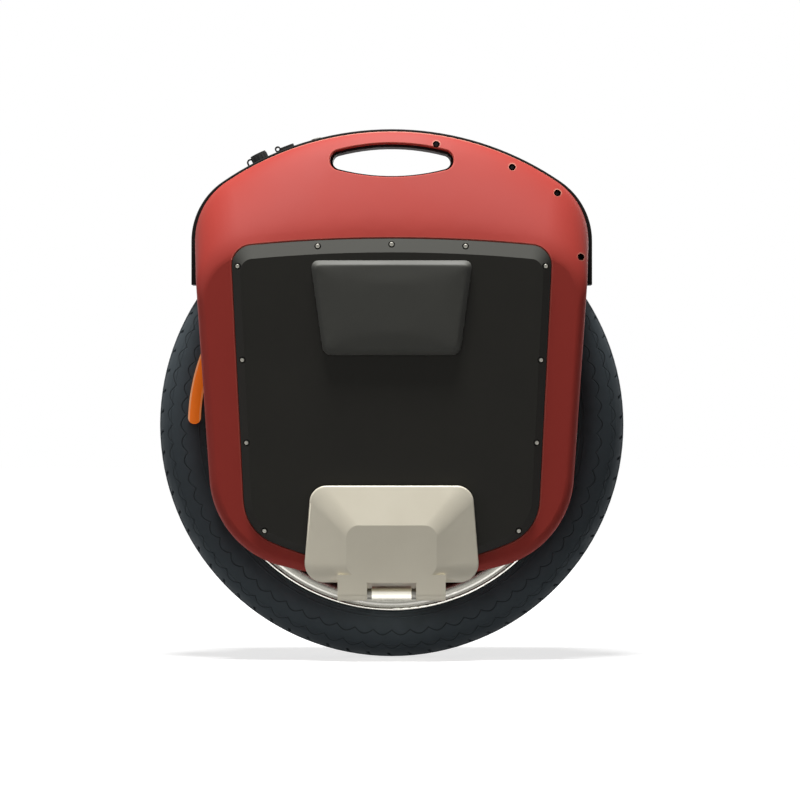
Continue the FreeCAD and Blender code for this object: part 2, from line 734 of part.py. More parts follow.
def light_prism(sign, grow=0.0):
    """Rounded window of a light, along X through one end of the spine."""
    low = SPINE_END + LIGHT_ABOVE_END - LIGHT_HEIGHT / 2 - grow
    high = low + LIGHT_HEIGHT + 2 * grow
    half = LIGHT_WIDTH / 2 + grow
    corners = [FreeCAD.Vector(0, -half, low), FreeCAD.Vector(0, half, low),
               FreeCAD.Vector(0, half, high), FreeCAD.Vector(0, -half, high)]
    return plate(rounded_wire(corners, [LIGHT_CORNER + grow] * len(corners)), TOP, ALONG_X * sign)


def top_spine():
    """Black spine between the half shells: mudguard roof, deck skin, handle bridge and bays."""
    half = SPINE_WIDTH / 2
    body = SPINE_OUTLINE.prism(-half, half)
    body = body.cut([block(-TOP, TOP, -SPINE_WIDTH, SPINE_WIDTH, -TOP, SPINE_END),
                     side_pin(WELL_RADIUS, 0, 0, -SPINE_WIDTH, SPINE_WIDTH)])
    rim = [edge for depth in (-half, half)
           for edge in edges_on(body, SPINE_OUTLINE.wire(depth))]
    body = body.makeFillet(SPINE_EDGE, rim)
    keep = [side_pin(ROOF_RADIUS, 0, 0, -SPINE_WIDTH, SPINE_WIDTH),
            block(-TOP, TOP, -SPINE_WIDTH, SPINE_WIDTH, -TOP, ROOF_END + WALL),
            handle_prism(-SPINE_WIDTH, SPINE_WIDTH, WALL),
            grip_block(-SPINE_WIDTH, SPINE_WIDTH)]
    cuts = [SPINE_OUTLINE.prism(-SPINE_WIDTH, SPINE_WIDTH, SPINE_SKIN).cut(keep),
            handle_prism(-SPINE_WIDTH, SPINE_WIDTH, -HANDLE_STEP)]
    cuts += [light_prism(sign, PRESS) for sign in (-1, 1)]
    for x, height in shell_screw_places():
        cuts += [side_pin(SHELL_SCREW_RADIUS + SEAM, side * x, height, -SPINE_WIDTH, SPINE_WIDTH)
                 for side in (-1, 1)]
    through = -SPINE_SKIN - CHARGE_FLANGE
    above = DECK_SPOT + CHARGE_FLANGE
    bezel = BUTTON_RADIUS + BEZEL_WALL
    cuts += [on_deck(post(bezel + PRESS, 0, above), BUTTON_X),
             on_deck(post(BEZEL_BODY_RADIUS + PRESS, through, above), BUTTON_X),
             on_deck(post(CHARGE_FLANGE_RADIUS + PRESS, 0, above), CHARGE_X),
             on_deck(post(CHARGE_BODY_RADIUS + PRESS, through, above), CHARGE_X),
             on_deck(usb_body(through, above, PRESS), USB_X)]
    return body.cut(cuts)


def button_bezel():
    """Round housing of the power switch."""
    bore = BUTTON_RADIUS + PRESS
    floor = BEZEL_RISE + BUTTON_PROUD - BUTTON_HEIGHT - BUTTON_TRAVEL - SEAM
    body = post(BUTTON_RADIUS + BEZEL_WALL, 0, BEZEL_RISE)
    body = body.fuse(post(BEZEL_BODY_RADIUS, -BEZEL_BODY_LENGTH, 0)).removeSplitter()
    return on_deck(body.cut(post(bore, floor, BEZEL_RISE)), BUTTON_X)


def power_button():
    high = BEZEL_RISE + BUTTON_PROUD
    button = post(BUTTON_RADIUS, high - BUTTON_HEIGHT, high)
    rim = [edge for edge in button.Edges if edge.BoundBox.ZMin > high - BUTTON_PROUD]
    return on_deck(button.makeFillet(BUTTON_PROUD / 2, rim), BUTTON_X)


def charge_socket():
    """Flanged round charge port with a threaded barrel and three pins."""
    high = CHARGE_FLANGE + CHARGE_BARREL_HEIGHT
    body = join([post(CHARGE_FLANGE_RADIUS, 0, CHARGE_FLANGE),
                 post(CHARGE_BARREL_RADIUS, 0, high),
                 post(CHARGE_BODY_RADIUS, -CHARGE_BODY_LENGTH, 0)])
    body = body.cut(post(CHARGE_BORE_RADIUS, -CHARGE_BARREL_HEIGHT, high))
    pin = post(CHARGE_PIN_RADIUS, -CHARGE_BARREL_HEIGHT, CHARGE_FLANGE, CHARGE_PIN_SPREAD)
    return on_deck(join([body] + around(pin, CHARGE_PINS, ALONG_Z)), CHARGE_X)


def charge_cap():
    """Ribbed rubber cap over the charge barrel with the arch of its strap."""
    low = CHARGE_FLANGE + SEAM
    inside = CHARGE_FLANGE + CHARGE_BARREL_HEIGHT + SEAM
    bore = CHARGE_BARREL_RADIUS + SEAM
    outer = bore + CAP_WALL
    rib = post(CAP_RIB, low, inside, outer)
    cup = join([post(outer, low, inside + CAP_TOP)] + around(rib, CAP_RIBS, ALONG_Z))
    middle = -outer - STRAP_ARCH + STRAP_RADIUS
    hoop = Part.makeTorus(STRAP_ARCH, STRAP_RADIUS, FreeCAD.Vector(middle, 0, low + CAP_WALL), ALONG_Y)
    hoop = hoop.common(deck_block(4 * outer, outer, low + CAP_WALL, inside + CAP_TOP, CAP_WALL))
    leg = post(STRAP_RADIUS, DECK_SPOT + SEAM, low + CAP_WALL, middle - STRAP_ARCH)
    cap = join([cup, hoop, leg]).cut(post(bore, 0, inside))
    return on_deck(cap, CHARGE_X)


def usb_socket():
    """Recessed double USB port."""
    slot = deck_block(USB_SLOT_LENGTH, USB_SLOT_WIDTH, -USB_SLOT_DEPTH, 0, USB_BODY_WALL / 2)
    tongue = deck_block(USB_BODY_WALL, USB_SLOT_WIDTH - 2 * USB_BODY_WALL,
                        -USB_SLOT_DEPTH, -PLUG_DEPTH - USB_BODY_WALL, USB_BODY_WALL / 4)
    return on_deck(usb_body(-USB_BODY_LENGTH, 0).cut(slot).fuse(tongue).removeSplitter(), USB_X)


def flap_pivot():
    """Middle of the flap's loop, in the deck's own axes."""
    return FreeCAD.Vector(LOOP_THICKNESS / 2 - FLAP_LENGTH / 2 - LOOP_RADIUS, 0,
                          DECK_SPOT + SEAM + LOOP_RADIUS)


def usb_flap():
    """Rubber flap over the USB port, with the loop that it turns in and its shallow plug."""
    low = DECK_SPOT + SEAM
    lid = deck_block(FLAP_LENGTH, FLAP_WIDTH, low, low + FLAP_THICKNESS, FLAP_CORNER)
    plug = deck_block(USB_SLOT_LENGTH - 2 * PLUG_CLEARANCE, USB_SLOT_WIDTH - 2 * PLUG_CLEARANCE,
                      -PLUG_DEPTH, low, USB_BODY_WALL / 2)
    pivot = flap_pivot()
    half = FreeCAD.Vector(0, LOOP_WIDTH / 2, 0)
    loop = cylinder(LOOP_RADIUS, pivot - half, pivot + half)
    bore = cylinder(LOOP_RADIUS - LOOP_THICKNESS, pivot - half, pivot + half)
    return on_deck(join([lid, plug, loop]).cut(bore), USB_X)


def light_lens(sign):
    """Lens that fills its window and follows the skin of the spine."""
    half = SPINE_WIDTH / 2
    skin = SPINE_OUTLINE.prism(-half, half).cut(SPINE_OUTLINE.prism(-half, half, SPINE_SKIN))
    return skin.common(light_prism(sign))


def light_housing(sign):
    """Shallow lamp tray behind the lens."""
    half = SPINE_WIDTH / 2
    front = SPINE_SKIN + PRESS
    slab = SPINE_OUTLINE.prism(-half, half, front).cut(
        SPINE_OUTLINE.prism(-half, half, front + LAMP_DEPTH))
    hollow = SPINE_OUTLINE.prism(-half, half, front).cut(
        SPINE_OUTLINE.prism(-half, half, front + LAMP_DEPTH - LAMP_WALL))
    tray = slab.common(light_prism(sign, LAMP_BORDER))
    return tray.cut(hollow.common(light_prism(sign, -LAMP_WALL)))


def side_cover():
    """Battery cover: seated flange, bevelled border and raised flat face, hollow behind."""
    lower = COVER_TOP_BEVEL - COVER_BEVEL
    flange = COVER_OUTLINE.prism(COVER_SEAT, FACE, SEAM)
    face = COVER_OUTLINE.drawn_in(COVER_BEVEL, lower)
    raised = Part.makeLoft([COVER_OUTLINE.wire(FACE, SEAM), face.wire(COVER_FACE)], True, True)
    hollow = COVER_OUTLINE.drawn_in(COVER_LEDGE_WIDTH, lower)
    cuts = [hollow.prism(COVER_SEAT, COVER_FACE - COVER_WALL)]
    seat = FACE + PANEL_SCREW_SEAT
    for x, height in panel_screw_places():
        cuts += [side_pin(PANEL_SCREW_RADIUS + PRESS, x, height, COVER_SEAT, COVER_FACE),
                 side_pin(PANEL_SCREW_RECESS, x, height, seat, COVER_FACE)]
    return join([flange, raised]).cut(cuts)


def panel_screws():
    seat = FACE + PANEL_SCREW_SEAT
    low = LEDGE_BACK + SEAM
    return [side_pin(PANEL_SCREW_RADIUS, x, height, low, seat).fuse(
        side_pin(PANEL_SCREW_HEAD, x, height, seat, seat + PANEL_SCREW_HEAD_LENGTH))
        for x, height in panel_screw_places()]


def leg_pad():
    """Moulded foam pad, glued to the cover: a wide bevel along the top and steep other edges."""
    high = COVER_OUTLINE.crown_height(0) - PAD_BELOW_COVER
    low = high - PAD_HEIGHT

    def outline(depth, top, edge):
        return trapezoid(depth, low + edge, high - top, PAD_BOTTOM_WIDTH - 2 * edge,
                         PAD_TOP_WIDTH - 2 * edge, PAD_BOTTOM_CORNER - edge, PAD_TOP_CORNER - edge)

    face = COVER_FACE + PAD_THICKNESS
    knee = face - PAD_CHAMFER
    base = plate(outline(COVER_FACE, 0.0, 0.0), PAD_THICKNESS - PAD_CHAMFER)
    bevel = Part.makeLoft([outline(knee, 0.0, 0.0), outline(face, PAD_CHAMFER, PAD_DRAFT)], True, True)
    return join([base, bevel])


def battery_packs():
    """Two wrapped packs of one side, either side of the hanger."""
    near = BAY_DEPTH + SEAM
    pack = plate(trapezoid(near, PACK_BOTTOM, PACK_BOTTOM + PACK_HEIGHT, PACK_WIDTH, PACK_WIDTH,
                           PACK_CORNER, PACK_CORNER), PACK_THICKNESS)
    place = CHANNEL + PACK_WIDTH / 2
    return [pack.translated(ALONG_X * (side * place)) for side in (-1, 1)]


def hinge_point(out, up, x=0.0):
    """Point in the pedal's own axes: outwards from and up from the hinge axis."""
    return point(x, HINGE_OUT + out, up - HINGE_DROP)


def pedal_hanger():
    """Cast hanger: clamp on the axle, tapered plate with a pocket and the arm of the hinge."""
    half = HANGER_FOOT_WIDTH / 2
    foot = -HINGE_DROP - KNUCKLE_RADIUS

    def outline(depth, inset):
        top = HANGER_TOP_RADIUS - inset
        low = foot + inset
        return Part.Wire(path(point(-top, depth, 0), (point(0, depth, top), point(top, depth, 0)),
                              point(half - inset, depth, low + HANGER_FOOT_CORNER),
                              point(half - inset - HANGER_FOOT_CORNER, depth, low),
                              point(-half + inset + HANGER_FOOT_CORNER, depth, low),
                              point(-half + inset, depth, low + HANGER_FOOT_CORNER),
                              point(-top, depth, 0)))

    body = plate(outline(BAY_DEPTH, 0.0), HANGER_THICKNESS)
    pocket = plate(outline(HANGER_OUT - HANGER_POCKET, HANGER_RIM), HANGER_POCKET)
    islands = [side_pin(WASHER_RADIUS + WALL, 0, 0, BAY_DEPTH, HANGER_OUT)]
    islands += [side_pin(HANGER_BOLT_HEAD + WALL, x, z, BAY_DEPTH, HANGER_OUT)
                for x, z in hanger_bolt_places()]
    islands.append(block(-half, half, BAY_DEPTH, HANGER_OUT, foot, BOTTOM + BOTTOM_BORDER))
    body = body.cut(pocket.cut(islands))
    width = KNUCKLE_WIDTH / 2
    arm = block(-width, width, BAY_DEPTH, HINGE_OUT, foot, -HINGE_DROP + KNUCKLE_RADIUS)
    knuckle = cylinder(KNUCKLE_RADIUS, hinge_point(0, 0, -width), hinge_point(0, 0, width))
    gussets = [block(side - WALL, side + WALL, BAY_DEPTH, BAY_DEPTH + GUSSET_REACH, foot,
                     -HINGE_DROP + KNUCKLE_RADIUS) for side in (-half + WALL, half - WALL)]
    body = join([body, arm, knuckle] + gussets)
    bore = PIN_RADIUS + PIN_CLEARANCE
    holes = [side_pin(AXLE_END_RADIUS + PRESS, 0, 0, BAY_DEPTH, HANGER_OUT),
             cylinder(bore, hinge_point(0, 0, -width), hinge_point(0, 0, width))]
    holes += [side_pin(HANGER_BOLT_RADIUS + PRESS, x, z, BAY_DEPTH, HANGER_OUT)
              for x, z in hanger_bolt_places()]
    return body.cut(holes)


def hanger_bolts():
    return [side_pin(HANGER_BOLT_RADIUS, x, z, INNER_WALL, HANGER_OUT).fuse(
        side_pin(HANGER_BOLT_HEAD, x, z, HANGER_OUT, HANGER_OUT + HANGER_BOLT_HEAD_LENGTH))
        for x, z in hanger_bolt_places()]


def hinge_pin():
    reach = LUG_INNER + LUG_WIDTH - PIN_RECESS
    return cylinder(PIN_RADIUS, hinge_point(0, 0, -reach), hinge_point(0, 0, reach))


def hinge_washers():
    """Spacers on the pin between the knuckle and the lugs."""
    near = KNUCKLE_WIDTH / 2 + SEAM
    far = LUG_INNER - SEAM
    disc = cylinder(HINGE_WASHER_RADIUS, hinge_point(0, 0, near), hinge_point(0, 0, far))
    disc = disc.cut(cylinder(PIN_RADIUS + PIN_CLEARANCE, hinge_point(0, 0, near), hinge_point(0, 0, far)))
    return [disc, disc.mirror(ORIGIN, ALONG_X)]


def pedal_outline(out, inset):
    return trapezoid(HINGE_OUT + out, PEDAL_START - HINGE_DROP + inset, PEDAL_REACH - HINGE_DROP - inset,
                     PEDAL_WIDTH - 2 * inset, PEDAL_TIP_WIDTH - 2 * inset,
                     PEDAL_ROOT_CORNER - inset, PEDAL_TIP_CORNER - inset)


def pedal():
    """Cast pedal, folded up: flat tread inside, bevelled hump outside and two hinge lugs."""
    knee = PEDAL_EDGE - TREAD_OFFSET
    crest = knee + PEDAL_HUMP
    base = plate(pedal_outline(-TREAD_OFFSET, 0.0), PEDAL_EDGE)
    flat = trapezoid(HINGE_OUT + crest, PEDAL_START + HUMP_FOOT - HINGE_DROP, HUMP_REACH - HINGE_DROP,
                     HUMP_WIDTH, HUMP_WIDTH, HUMP_CORNER, HUMP_CORNER)
    hump = Part.makeLoft([pedal_outline(knee, 0.0), flat], True, True)
    body = join([base, hump])
    body = body.makeFillet(PEDAL_ROUND, edges_on(body, pedal_outline(knee, 0.0)))
    body = body.makeFillet(HUMP_ROUND, edges_on(body, flat))
    slope = LUG_RADIUS * math.sin(math.radians(45))
    top = PEDAL_START + HUMP_FOOT + HUMP_ROUND
    lug = Part.Face(Part.Wire(path(
        hinge_point(-LUG_RADIUS, 0), (hinge_point(-slope, -slope), hinge_point(0, -LUG_RADIUS)),
        hinge_point(crest - LUG_RADIUS, -LUG_RADIUS),
        (hinge_point(crest - LUG_RADIUS + slope, -slope), hinge_point(crest, 0)),
        hinge_point(crest, top), hinge_point(-TREAD_OFFSET, top), hinge_point(-TREAD_OFFSET, PEDAL_START),
        hinge_point(-LUG_RADIUS, LUG_RADIUS), hinge_point(-LUG_RADIUS, 0))))
    lug = lug.extrude(ALONG_X * LUG_WIDTH).translated(ALONG_X * LUG_INNER)
    bridge = block(-LUG_INNER, LUG_INNER, HINGE_OUT - TREAD_OFFSET, HINGE_OUT + crest,
                   PEDAL_START - HINGE_DROP, top - HINGE_DROP)
    body = join([body, bridge, lug, lug.mirror(ORIGIN, ALONG_X)])
    reach = LUG_INNER + LUG_WIDTH
    bore = cylinder(PIN_RADIUS + PIN_CLEARANCE, hinge_point(0, 0, -reach), hinge_point(0, 0, reach))
    return body.cut(bore)


def pedal_mat():
    """Grooved rubber tread on the pedal."""
    face = -TREAD_OFFSET - MAT_THICKNESS
    mat = plate(pedal_outline(face, MAT_BORDER), MAT_THICKNESS)
    low = PEDAL_START - HINGE_DROP + MAT_BORDER
    high = PEDAL_REACH - HINGE_DROP - MAT_BORDER
    depth = HINGE_OUT + face
    grooves = []
    for k in range(MAT_GROOVES):
        level = blend(low, high, (k + 1) / (MAT_GROOVES + 1))
        grooves.append(block(-PEDAL_WIDTH, PEDAL_WIDTH, depth, depth + MAT_GROOVE_DEPTH,
                             level - MAT_GROOVE_WIDTH / 2, level + MAT_GROOVE_WIDTH / 2))
    return mat.cut(grooves)


def axle():
    """Fixed shaft with a stepped end on each side."""
    shaft = side_pin(AXLE_RADIUS, 0, 0, -BAY_DEPTH, BAY_DEPTH)
    return join([shaft, side_pin(AXLE_END_RADIUS, 0, 0, -AXLE_END, AXLE_END)])


def axle_washer():
    disc = side_pin(WASHER_RADIUS, 0, 0, HANGER_OUT, NUT_SEAT)
    return disc.cut(side_pin(AXLE_END_RADIUS + PRESS, 0, 0, HANGER_OUT, NUT_SEAT))


def axle_nut():
    """Hexagon nut with chamfered corners."""
    corner = NUT_ACROSS_FLATS / math.sqrt(3)
    end = NUT_SEAT + NUT_THICKNESS
    first = point(corner, NUT_SEAT, 0)
    rest = [point(corner * math.cos(k * math.pi / 3), NUT_SEAT, corner * math.sin(k * math.pi / 3))
            for k in range(1, 6)]
    prism = plate(Part.Wire(path(first, *rest, first)), NUT_THICKNESS)
    flat = NUT_ACROSS_FLATS / 2
    fall = (corner - flat) * math.tan(math.radians(NUT_CHAMFER))
    cone = ring(ring_point(0, NUT_SEAT), ring_point(corner, NUT_SEAT), ring_point(corner, end - fall),
                ring_point(flat, end), ring_point(0, end)).rotated(ORIGIN, ALONG_Z, 180)
    return prism.common(cone).cut(side_pin(AXLE_END_RADIUS + PRESS, 0, 0, NUT_SEAT, end))


def stator_spider():
    """Aluminium carrier of the stator on the axle."""
    half = STATOR_WIDTH / 2
    rim = STATOR_RADIUS - STATOR_DEPTH - PRESS
    web = SPIDER_WEB / 2
    bore = AXLE_RADIUS + PRESS
    body = even_ring(ring_point(rim, 0), ring_point(rim, half), ring_point(rim - SPIDER_RIM, half),
                     ring_point(rim - SPIDER_RIM, web), ring_point(SPIDER_HUB_RADIUS, web),
                     ring_point(SPIDER_HUB_RADIUS, half), ring_point(bore, half), ring_point(bore, 0))
    middle = (SPIDER_HUB_RADIUS + rim - SPIDER_RIM) / 2
    hole = side_pin(SPIDER_HOLE_RADIUS, middle, 0, -STATOR_WIDTH, STATOR_WIDTH)
    return body.cut(around(hole, SPIDER_HOLES))


def stator_core():
    """Lamination stack with one shoe-ended tooth per slot."""
    yoke = STATOR_RADIUS - STATOR_DEPTH + STATOR_YOKE
    shoe = STATOR_RADIUS - SHOE_THICKNESS
    half = STATOR_WIDTH / 2
    pitch = 2 * math.pi / TOOTH_COUNT
    wing = pitch * SHOE_SHARE / 2
    spread = math.asin(TOOTH_WIDTH / 2 / yoke)
    waist = math.asin(TOOTH_WIDTH / 2 / shoe)

    def spot(radius, angle):
        return point(radius * math.cos(angle), half, radius * math.sin(angle))

    steps = []
    for k in range(TOOTH_COUNT):
        turn = k * pitch
        steps += [spot(shoe, turn - waist), spot(STATOR_RADIUS - SHOE_THICKNESS / 2, turn - wing),
                  spot(STATOR_RADIUS, turn - wing),
                  (spot(STATOR_RADIUS, turn), spot(STATOR_RADIUS, turn + wing)),
                  spot(STATOR_RADIUS - SHOE_THICKNESS / 2, turn + wing), spot(shoe, turn + waist),
                  spot(yoke, turn + spread),
                  (spot(yoke, turn + pitch / 2), spot(yoke, turn + pitch - spread))]
    outer = Part.Face(Part.Wire(path(spot(yoke, -spread), *steps)))
    stack = outer.extrude(ALONG_Y * STATOR_WIDTH)
    return stack.cut(side_pin(STATOR_RADIUS - STATOR_DEPTH, 0, 0, -half, half))


def stator_windings():
    """One coil round each tooth of the stator."""
    low = STATOR_RADIUS - STATOR_DEPTH + STATOR_YOKE + SEAM
    high = STATOR_RADIUS - SHOE_THICKNESS - SEAM
    inner = TOOTH_WIDTH / 2 + SEAM
    outer = inner + COIL_BUILD
    end = STATOR_WIDTH / 2 + SEAM
    coil = block(-outer, outer, -end - COIL_OVERHANG, end + COIL_OVERHANG, low, high)
    coil = coil.cut(block(-inner, inner, -end, end, low, high))
    return around(coil.rotated(ORIGIN, ALONG_Y, 90), TOOTH_COUNT)


def rotor_magnets():
    """Arc magnets glued inside the motor housing."""
    half = STATOR_WIDTH / 2
    outer = HOUSING_INNER - PRESS
    section = Part.Wire(path(ring_point(MAGNET_INNER, -half), ring_point(outer, -half),
                             ring_point(outer, half), ring_point(MAGNET_INNER, half),
                             ring_point(MAGNET_INNER, -half)))
    magnet = Part.Face(section).revolve(ORIGIN, ALONG_Y, 360.0 / MAGNET_COUNT * MAGNET_SHARE)
    return around(magnet, MAGNET_COUNT)


def rim():
    """Cast rim, web and motor housing in one, with a lip, a groove and a polished band on each flange."""
    edge = RIM_WIDTH / 2
    bead = edge - FLANGE
    drop = bead - BEAD_WIDTH
    web = RIM_WEB / 2
    steps = [ring_point(RIM_BED, drop - RIM_WELL_DEPTH), ring_point(BEAD_SEAT, drop),
             ring_point(BEAD_SEAT, bead), ring_point(RIM_EDGE_RADIUS, bead),
             ring_point(RIM_EDGE_RADIUS, edge)]
    lip = RIM_EDGE_RADIUS - RIM_LIP
    band = lip - RIM_GROOVE
    steps += [(ring_point(RIM_EDGE_RADIUS - RIM_LIP / 2, edge + RIM_CROWN), ring_point(lip, edge)),
              ring_point(lip, edge - RIM_GROOVE_DEPTH), ring_point(band, edge - RIM_GROOVE_DEPTH),
              ring_point(band, edge),
              (ring_point(band - RIM_BAND / 2, edge + RIM_CROWN), ring_point(band - RIM_BAND, edge))]
    steps += [ring_point(BARREL, bead), ring_point(BARREL, web), ring_point(HOUSING_OUTER, web),
              ring_point(HOUSING_OUTER, COVER_PLANE), ring_point(HOUSING_INNER, COVER_PLANE),
              ring_point(HOUSING_INNER, 0)]
    body = even_ring(ring_point(RIM_BED, 0), *steps)
    cuts = [valve_cylinder(VALVE_RADIUS + PRESS, 0, RIM_EDGE_RADIUS)]
    cuts += [opposite(screw) if side else screw for side in (0, 1)
             for screw in motor_cover_screws(PRESS)]
    return body.cut(cuts)


def valve_cylinder(radius, low, high):
    """Cylinder along the valve's own radius of the wheel, outside the web."""
    low = max(low, BARREL - VALVE_LENGTH)
    stem = Part.makeCylinder(radius, high - low, FreeCAD.Vector(0, -VALVE_OFFSET, low), ALONG_Z)
    return stem.rotated(ORIGIN, ALONG_Y, VALVE_ANGLE)


def tube_section():
    """Middle radius and section radius of the blown-up inner tube."""
    crown = TYRE_RADIUS - TREAD_THICKNESS - SEAM
    section = TYRE_WIDTH / 2 - CARCASS - TUBE_SIDE_ROOM
    return crown - section, section


def inner_tube():
    middle, section = tube_section()
    outer = Part.makeTorus(middle, section, ORIGIN, ALONG_Y)
    return outer.cut(Part.makeTorus(middle, section - TUBE_WALL, ORIGIN, ALONG_Y))


def valve_stem():
    middle, section = tube_section()
    nearest = VALVE_OFFSET - VALVE_RADIUS
    foot = middle - math.sqrt(section ** 2 - nearest ** 2) - SEAM
    return valve_cylinder(VALVE_RADIUS, BARREL - VALVE_LENGTH + VALVE_CAP_WALL, foot)


def valve_cap():
    low = BARREL - VALVE_LENGTH
    cap = valve_cylinder(VALVE_RADIUS + VALVE_CAP_WALL, low, low + VALVE_CAP_LENGTH)
    return cap.cut(valve_cylinder(VALVE_RADIUS + PRESS, low + VALVE_CAP_WALL - PRESS, BARREL))


def sidewall_points(offset):
    """Neck, widest point and shoulder of the sidewall, moved inwards by an offset."""
    neck = RIM_EDGE_RADIUS + NECK_GAP + offset
    shoulder = TYRE_RADIUS - TREAD_DROP - offset
    return (ring_point(neck, NECK_WIDTH / 2 - offset),
            ring_point((neck + shoulder) / 2, TYRE_WIDTH / 2 - offset),
            ring_point(shoulder, TREAD_WIDTH / 2 - offset))


def tread_arc(crown, shoulder):
    """Middle point of half the crown arc between the middle plane and a shoulder."""
    width = shoulder.y
    drop = crown - shoulder.x
    radius = (width ** 2 + drop ** 2) / (2 * drop)
    half = math.asin(width / radius) / 2
    return ring_point(crown - radius + radius * math.cos(half), radius * math.sin(half))


def tyre():
    """Tyre with beads, bowed sidewalls and a tread of slanted shoulder blocks and a plain rib."""
    neck, widest, shoulder = sidewall_points(0.0)
    inner_neck, inner_widest, inner_shoulder = sidewall_points(CARCASS)
    inside = TYRE_RADIUS - TREAD_THICKNESS
    bead = RIM_WIDTH / 2 - FLANGE - SEAM
    seat = BEAD_SEAT + SEAM
    toe = bead - BEAD_WIDTH + SEAM
    body = even_ring(ring_point(TYRE_RADIUS, 0), (tread_arc(TYRE_RADIUS, shoulder), shoulder),
                     (widest, neck), ring_point(neck.x, bead), ring_point(seat, bead),
                     ring_point(seat, toe), ring_point(RIM_EDGE_RADIUS, toe + CARCASS / 2), inner_neck,
                     (inner_widest, inner_shoulder),
                     (tread_arc(inside, inner_shoulder), ring_point(inside, 0)))
    floor = TYRE_RADIUS - GROOVE_DEPTH
    above = TYRE_RADIUS + GROOVE_DEPTH
    rib = RIB_WIDTH / 2
    channel = ring(ring_point(floor, rib), ring_point(floor, rib + GROOVE_WIDTH),
                   ring_point(above, rib + GROOVE_WIDTH), ring_point(above, rib))
    fall = math.degrees(math.atan2(TREAD_DROP, TREAD_WIDTH / 2 - rib))
    slot = block(-GROOVE_WIDTH / 2, GROOVE_WIDTH / 2, 0, NOTCH_LENGTH, 0, 4 * GROOVE_DEPTH)
    slot = slot.rotated(ORIGIN, ALONG_X, fall).rotated(ORIGIN, ALONG_Z, GROOVE_SLANT)
    slot = slot.translated(point(0, rib, floor))
    slots = around(slot, TREAD_PITCHES) + around(opposite(slot), TREAD_PITCHES)
    return body.cut([channel, channel.mirror(ORIGIN, ALONG_Y)] + slots)


def sidewall_label():
    """Thin strip with round ends that follows the right sidewall."""
    neck, widest, shoulder = sidewall_points(0.0)
    centre = Part.Arc(neck, widest, shoulder).toShape().Curve.Center

    def lifted(spots, lift):
        return [spot + (spot - centre).normalize() * lift for spot in spots]

    low = lifted((neck, widest, shoulder), PRESS)
    high = lifted((neck, widest, shoulder), PRESS + LABEL_THICKNESS)
    skin = ring(low[0], (low[1], low[2]), high[2], (high[1], high[0])).mirror(ORIGIN, ALONG_Y)
    half = LABEL_WIDTH / 2
    sweep = math.radians(LABEL_SWEEP)

    def spot(radius, angle, along_end=0.0):
        across = FreeCAD.Vector(-math.cos(angle), 0, math.sin(angle)) * radius
        return across + FreeCAD.Vector(math.sin(angle), 0, math.cos(angle)) * along_end

    start = math.radians(LABEL_START)
    end = start + sweep
    inner, outer = LABEL_RADIUS - half, LABEL_RADIUS + half
    strip = Part.Wire(path(spot(inner, start), (spot(LABEL_RADIUS, start, -half), spot(outer, start)),
                           (spot(outer, start + sweep / 2), spot(outer, end)),
                           (spot(LABEL_RADIUS, end, half), spot(inner, end)),
                           (spot(inner, start + sweep / 2), spot(inner, start))))
    return skin.common(plate(strip, TYRE_WIDTH))


def motor_cover_screws(grow=0.0):
    """Screws of one motor cover into the housing."""
    place = (HOUSING_INNER + HOUSING_OUTER) / 2
    head = COVER_PLANE + COVER_PLATE
    shank = side_pin(COVER_SCREW_RADIUS + grow, place, 0, head - COVER_SCREW_LENGTH - grow, head)
    if grow:
        return around(shank, COVER_SCREW_COUNT)
    cap = side_pin(COVER_SCREW_HEAD, place, 0, head, head + COVER_SCREW_HEAD_LENGTH)
    return around(shank.fuse(cap), COVER_SCREW_COUNT)


def motor_cover():
    """Dished motor side plate with a bearing pocket, radial ribs and screw holes."""
    seat = BEARING_RADIUS + PRESS
    hub = seat + HUB_WALL
    flat = COVER_PLANE + COVER_PLATE
    crest = flat + COVER_RISE_TO_HUB
    step = COVER_PLANE + BEARING_WIDTH + SEAM
    bore = AXLE_RADIUS + SEAL_GAP
    flange = HOUSING_INNER - COVER_RIB_WIDTH
    body = ring(ring_point(seat, COVER_PLANE), ring_point(seat, step), ring_point(bore, step),
                ring_point(bore, step + HUB_LIP), ring_point(hub, step + HUB_LIP),
                ring_point(hub, crest), ring_point(flange, flat),
                ring_point(HOUSING_OUTER, flat), ring_point(HOUSING_OUTER, COVER_PLANE))
    rib = block(hub - HUB_LIP, flange, flat - COVER_PLATE / 2, crest + COVER_RIB_HEIGHT,
                -COVER_RIB_WIDTH / 2, COVER_RIB_WIDTH / 2)
    roof = ring(ring_point(0, COVER_PLANE), ring_point(0, crest + COVER_RIB_HEIGHT),
                ring_point(hub, crest + COVER_RIB_HEIGHT), ring_point(flange, flat + SEAM),
                ring_point(flange, COVER_PLANE))
    body = body.rotated(ORIGIN, ALONG_Z, 180)
    ribs = [piece.common(roof.rotated(ORIGIN, ALONG_Z, 180)) for piece in around(rib, COVER_RIBS)]
    return join([body] + ribs).cut(motor_cover_screws(PRESS))


def bearing():
    """Deep groove ball bearing in the pocket of a motor cover."""
    near = COVER_PLANE + SEAM / 2
    far = near + BEARING_WIDTH

    def race(inner, outer):
        return ring(ring_point(inner, near), ring_point(outer, near), ring_point(outer, far),
                    ring_point(inner, far)).rotated(ORIGIN, ALONG_Z, 180)

    bore = AXLE_RADIUS + PRESS
    inside, outside = bore + BEARING_RACE, BEARING_RADIUS - BEARING_RACE
    size = (outside - inside) / 2 - PRESS
    ball = Part.makeSphere(size, point((inside + outside) / 2, (near + far) / 2, 0))
    return [race(bore, inside), race(outside, BEARING_RADIUS)] + around(ball, BALL_COUNT)


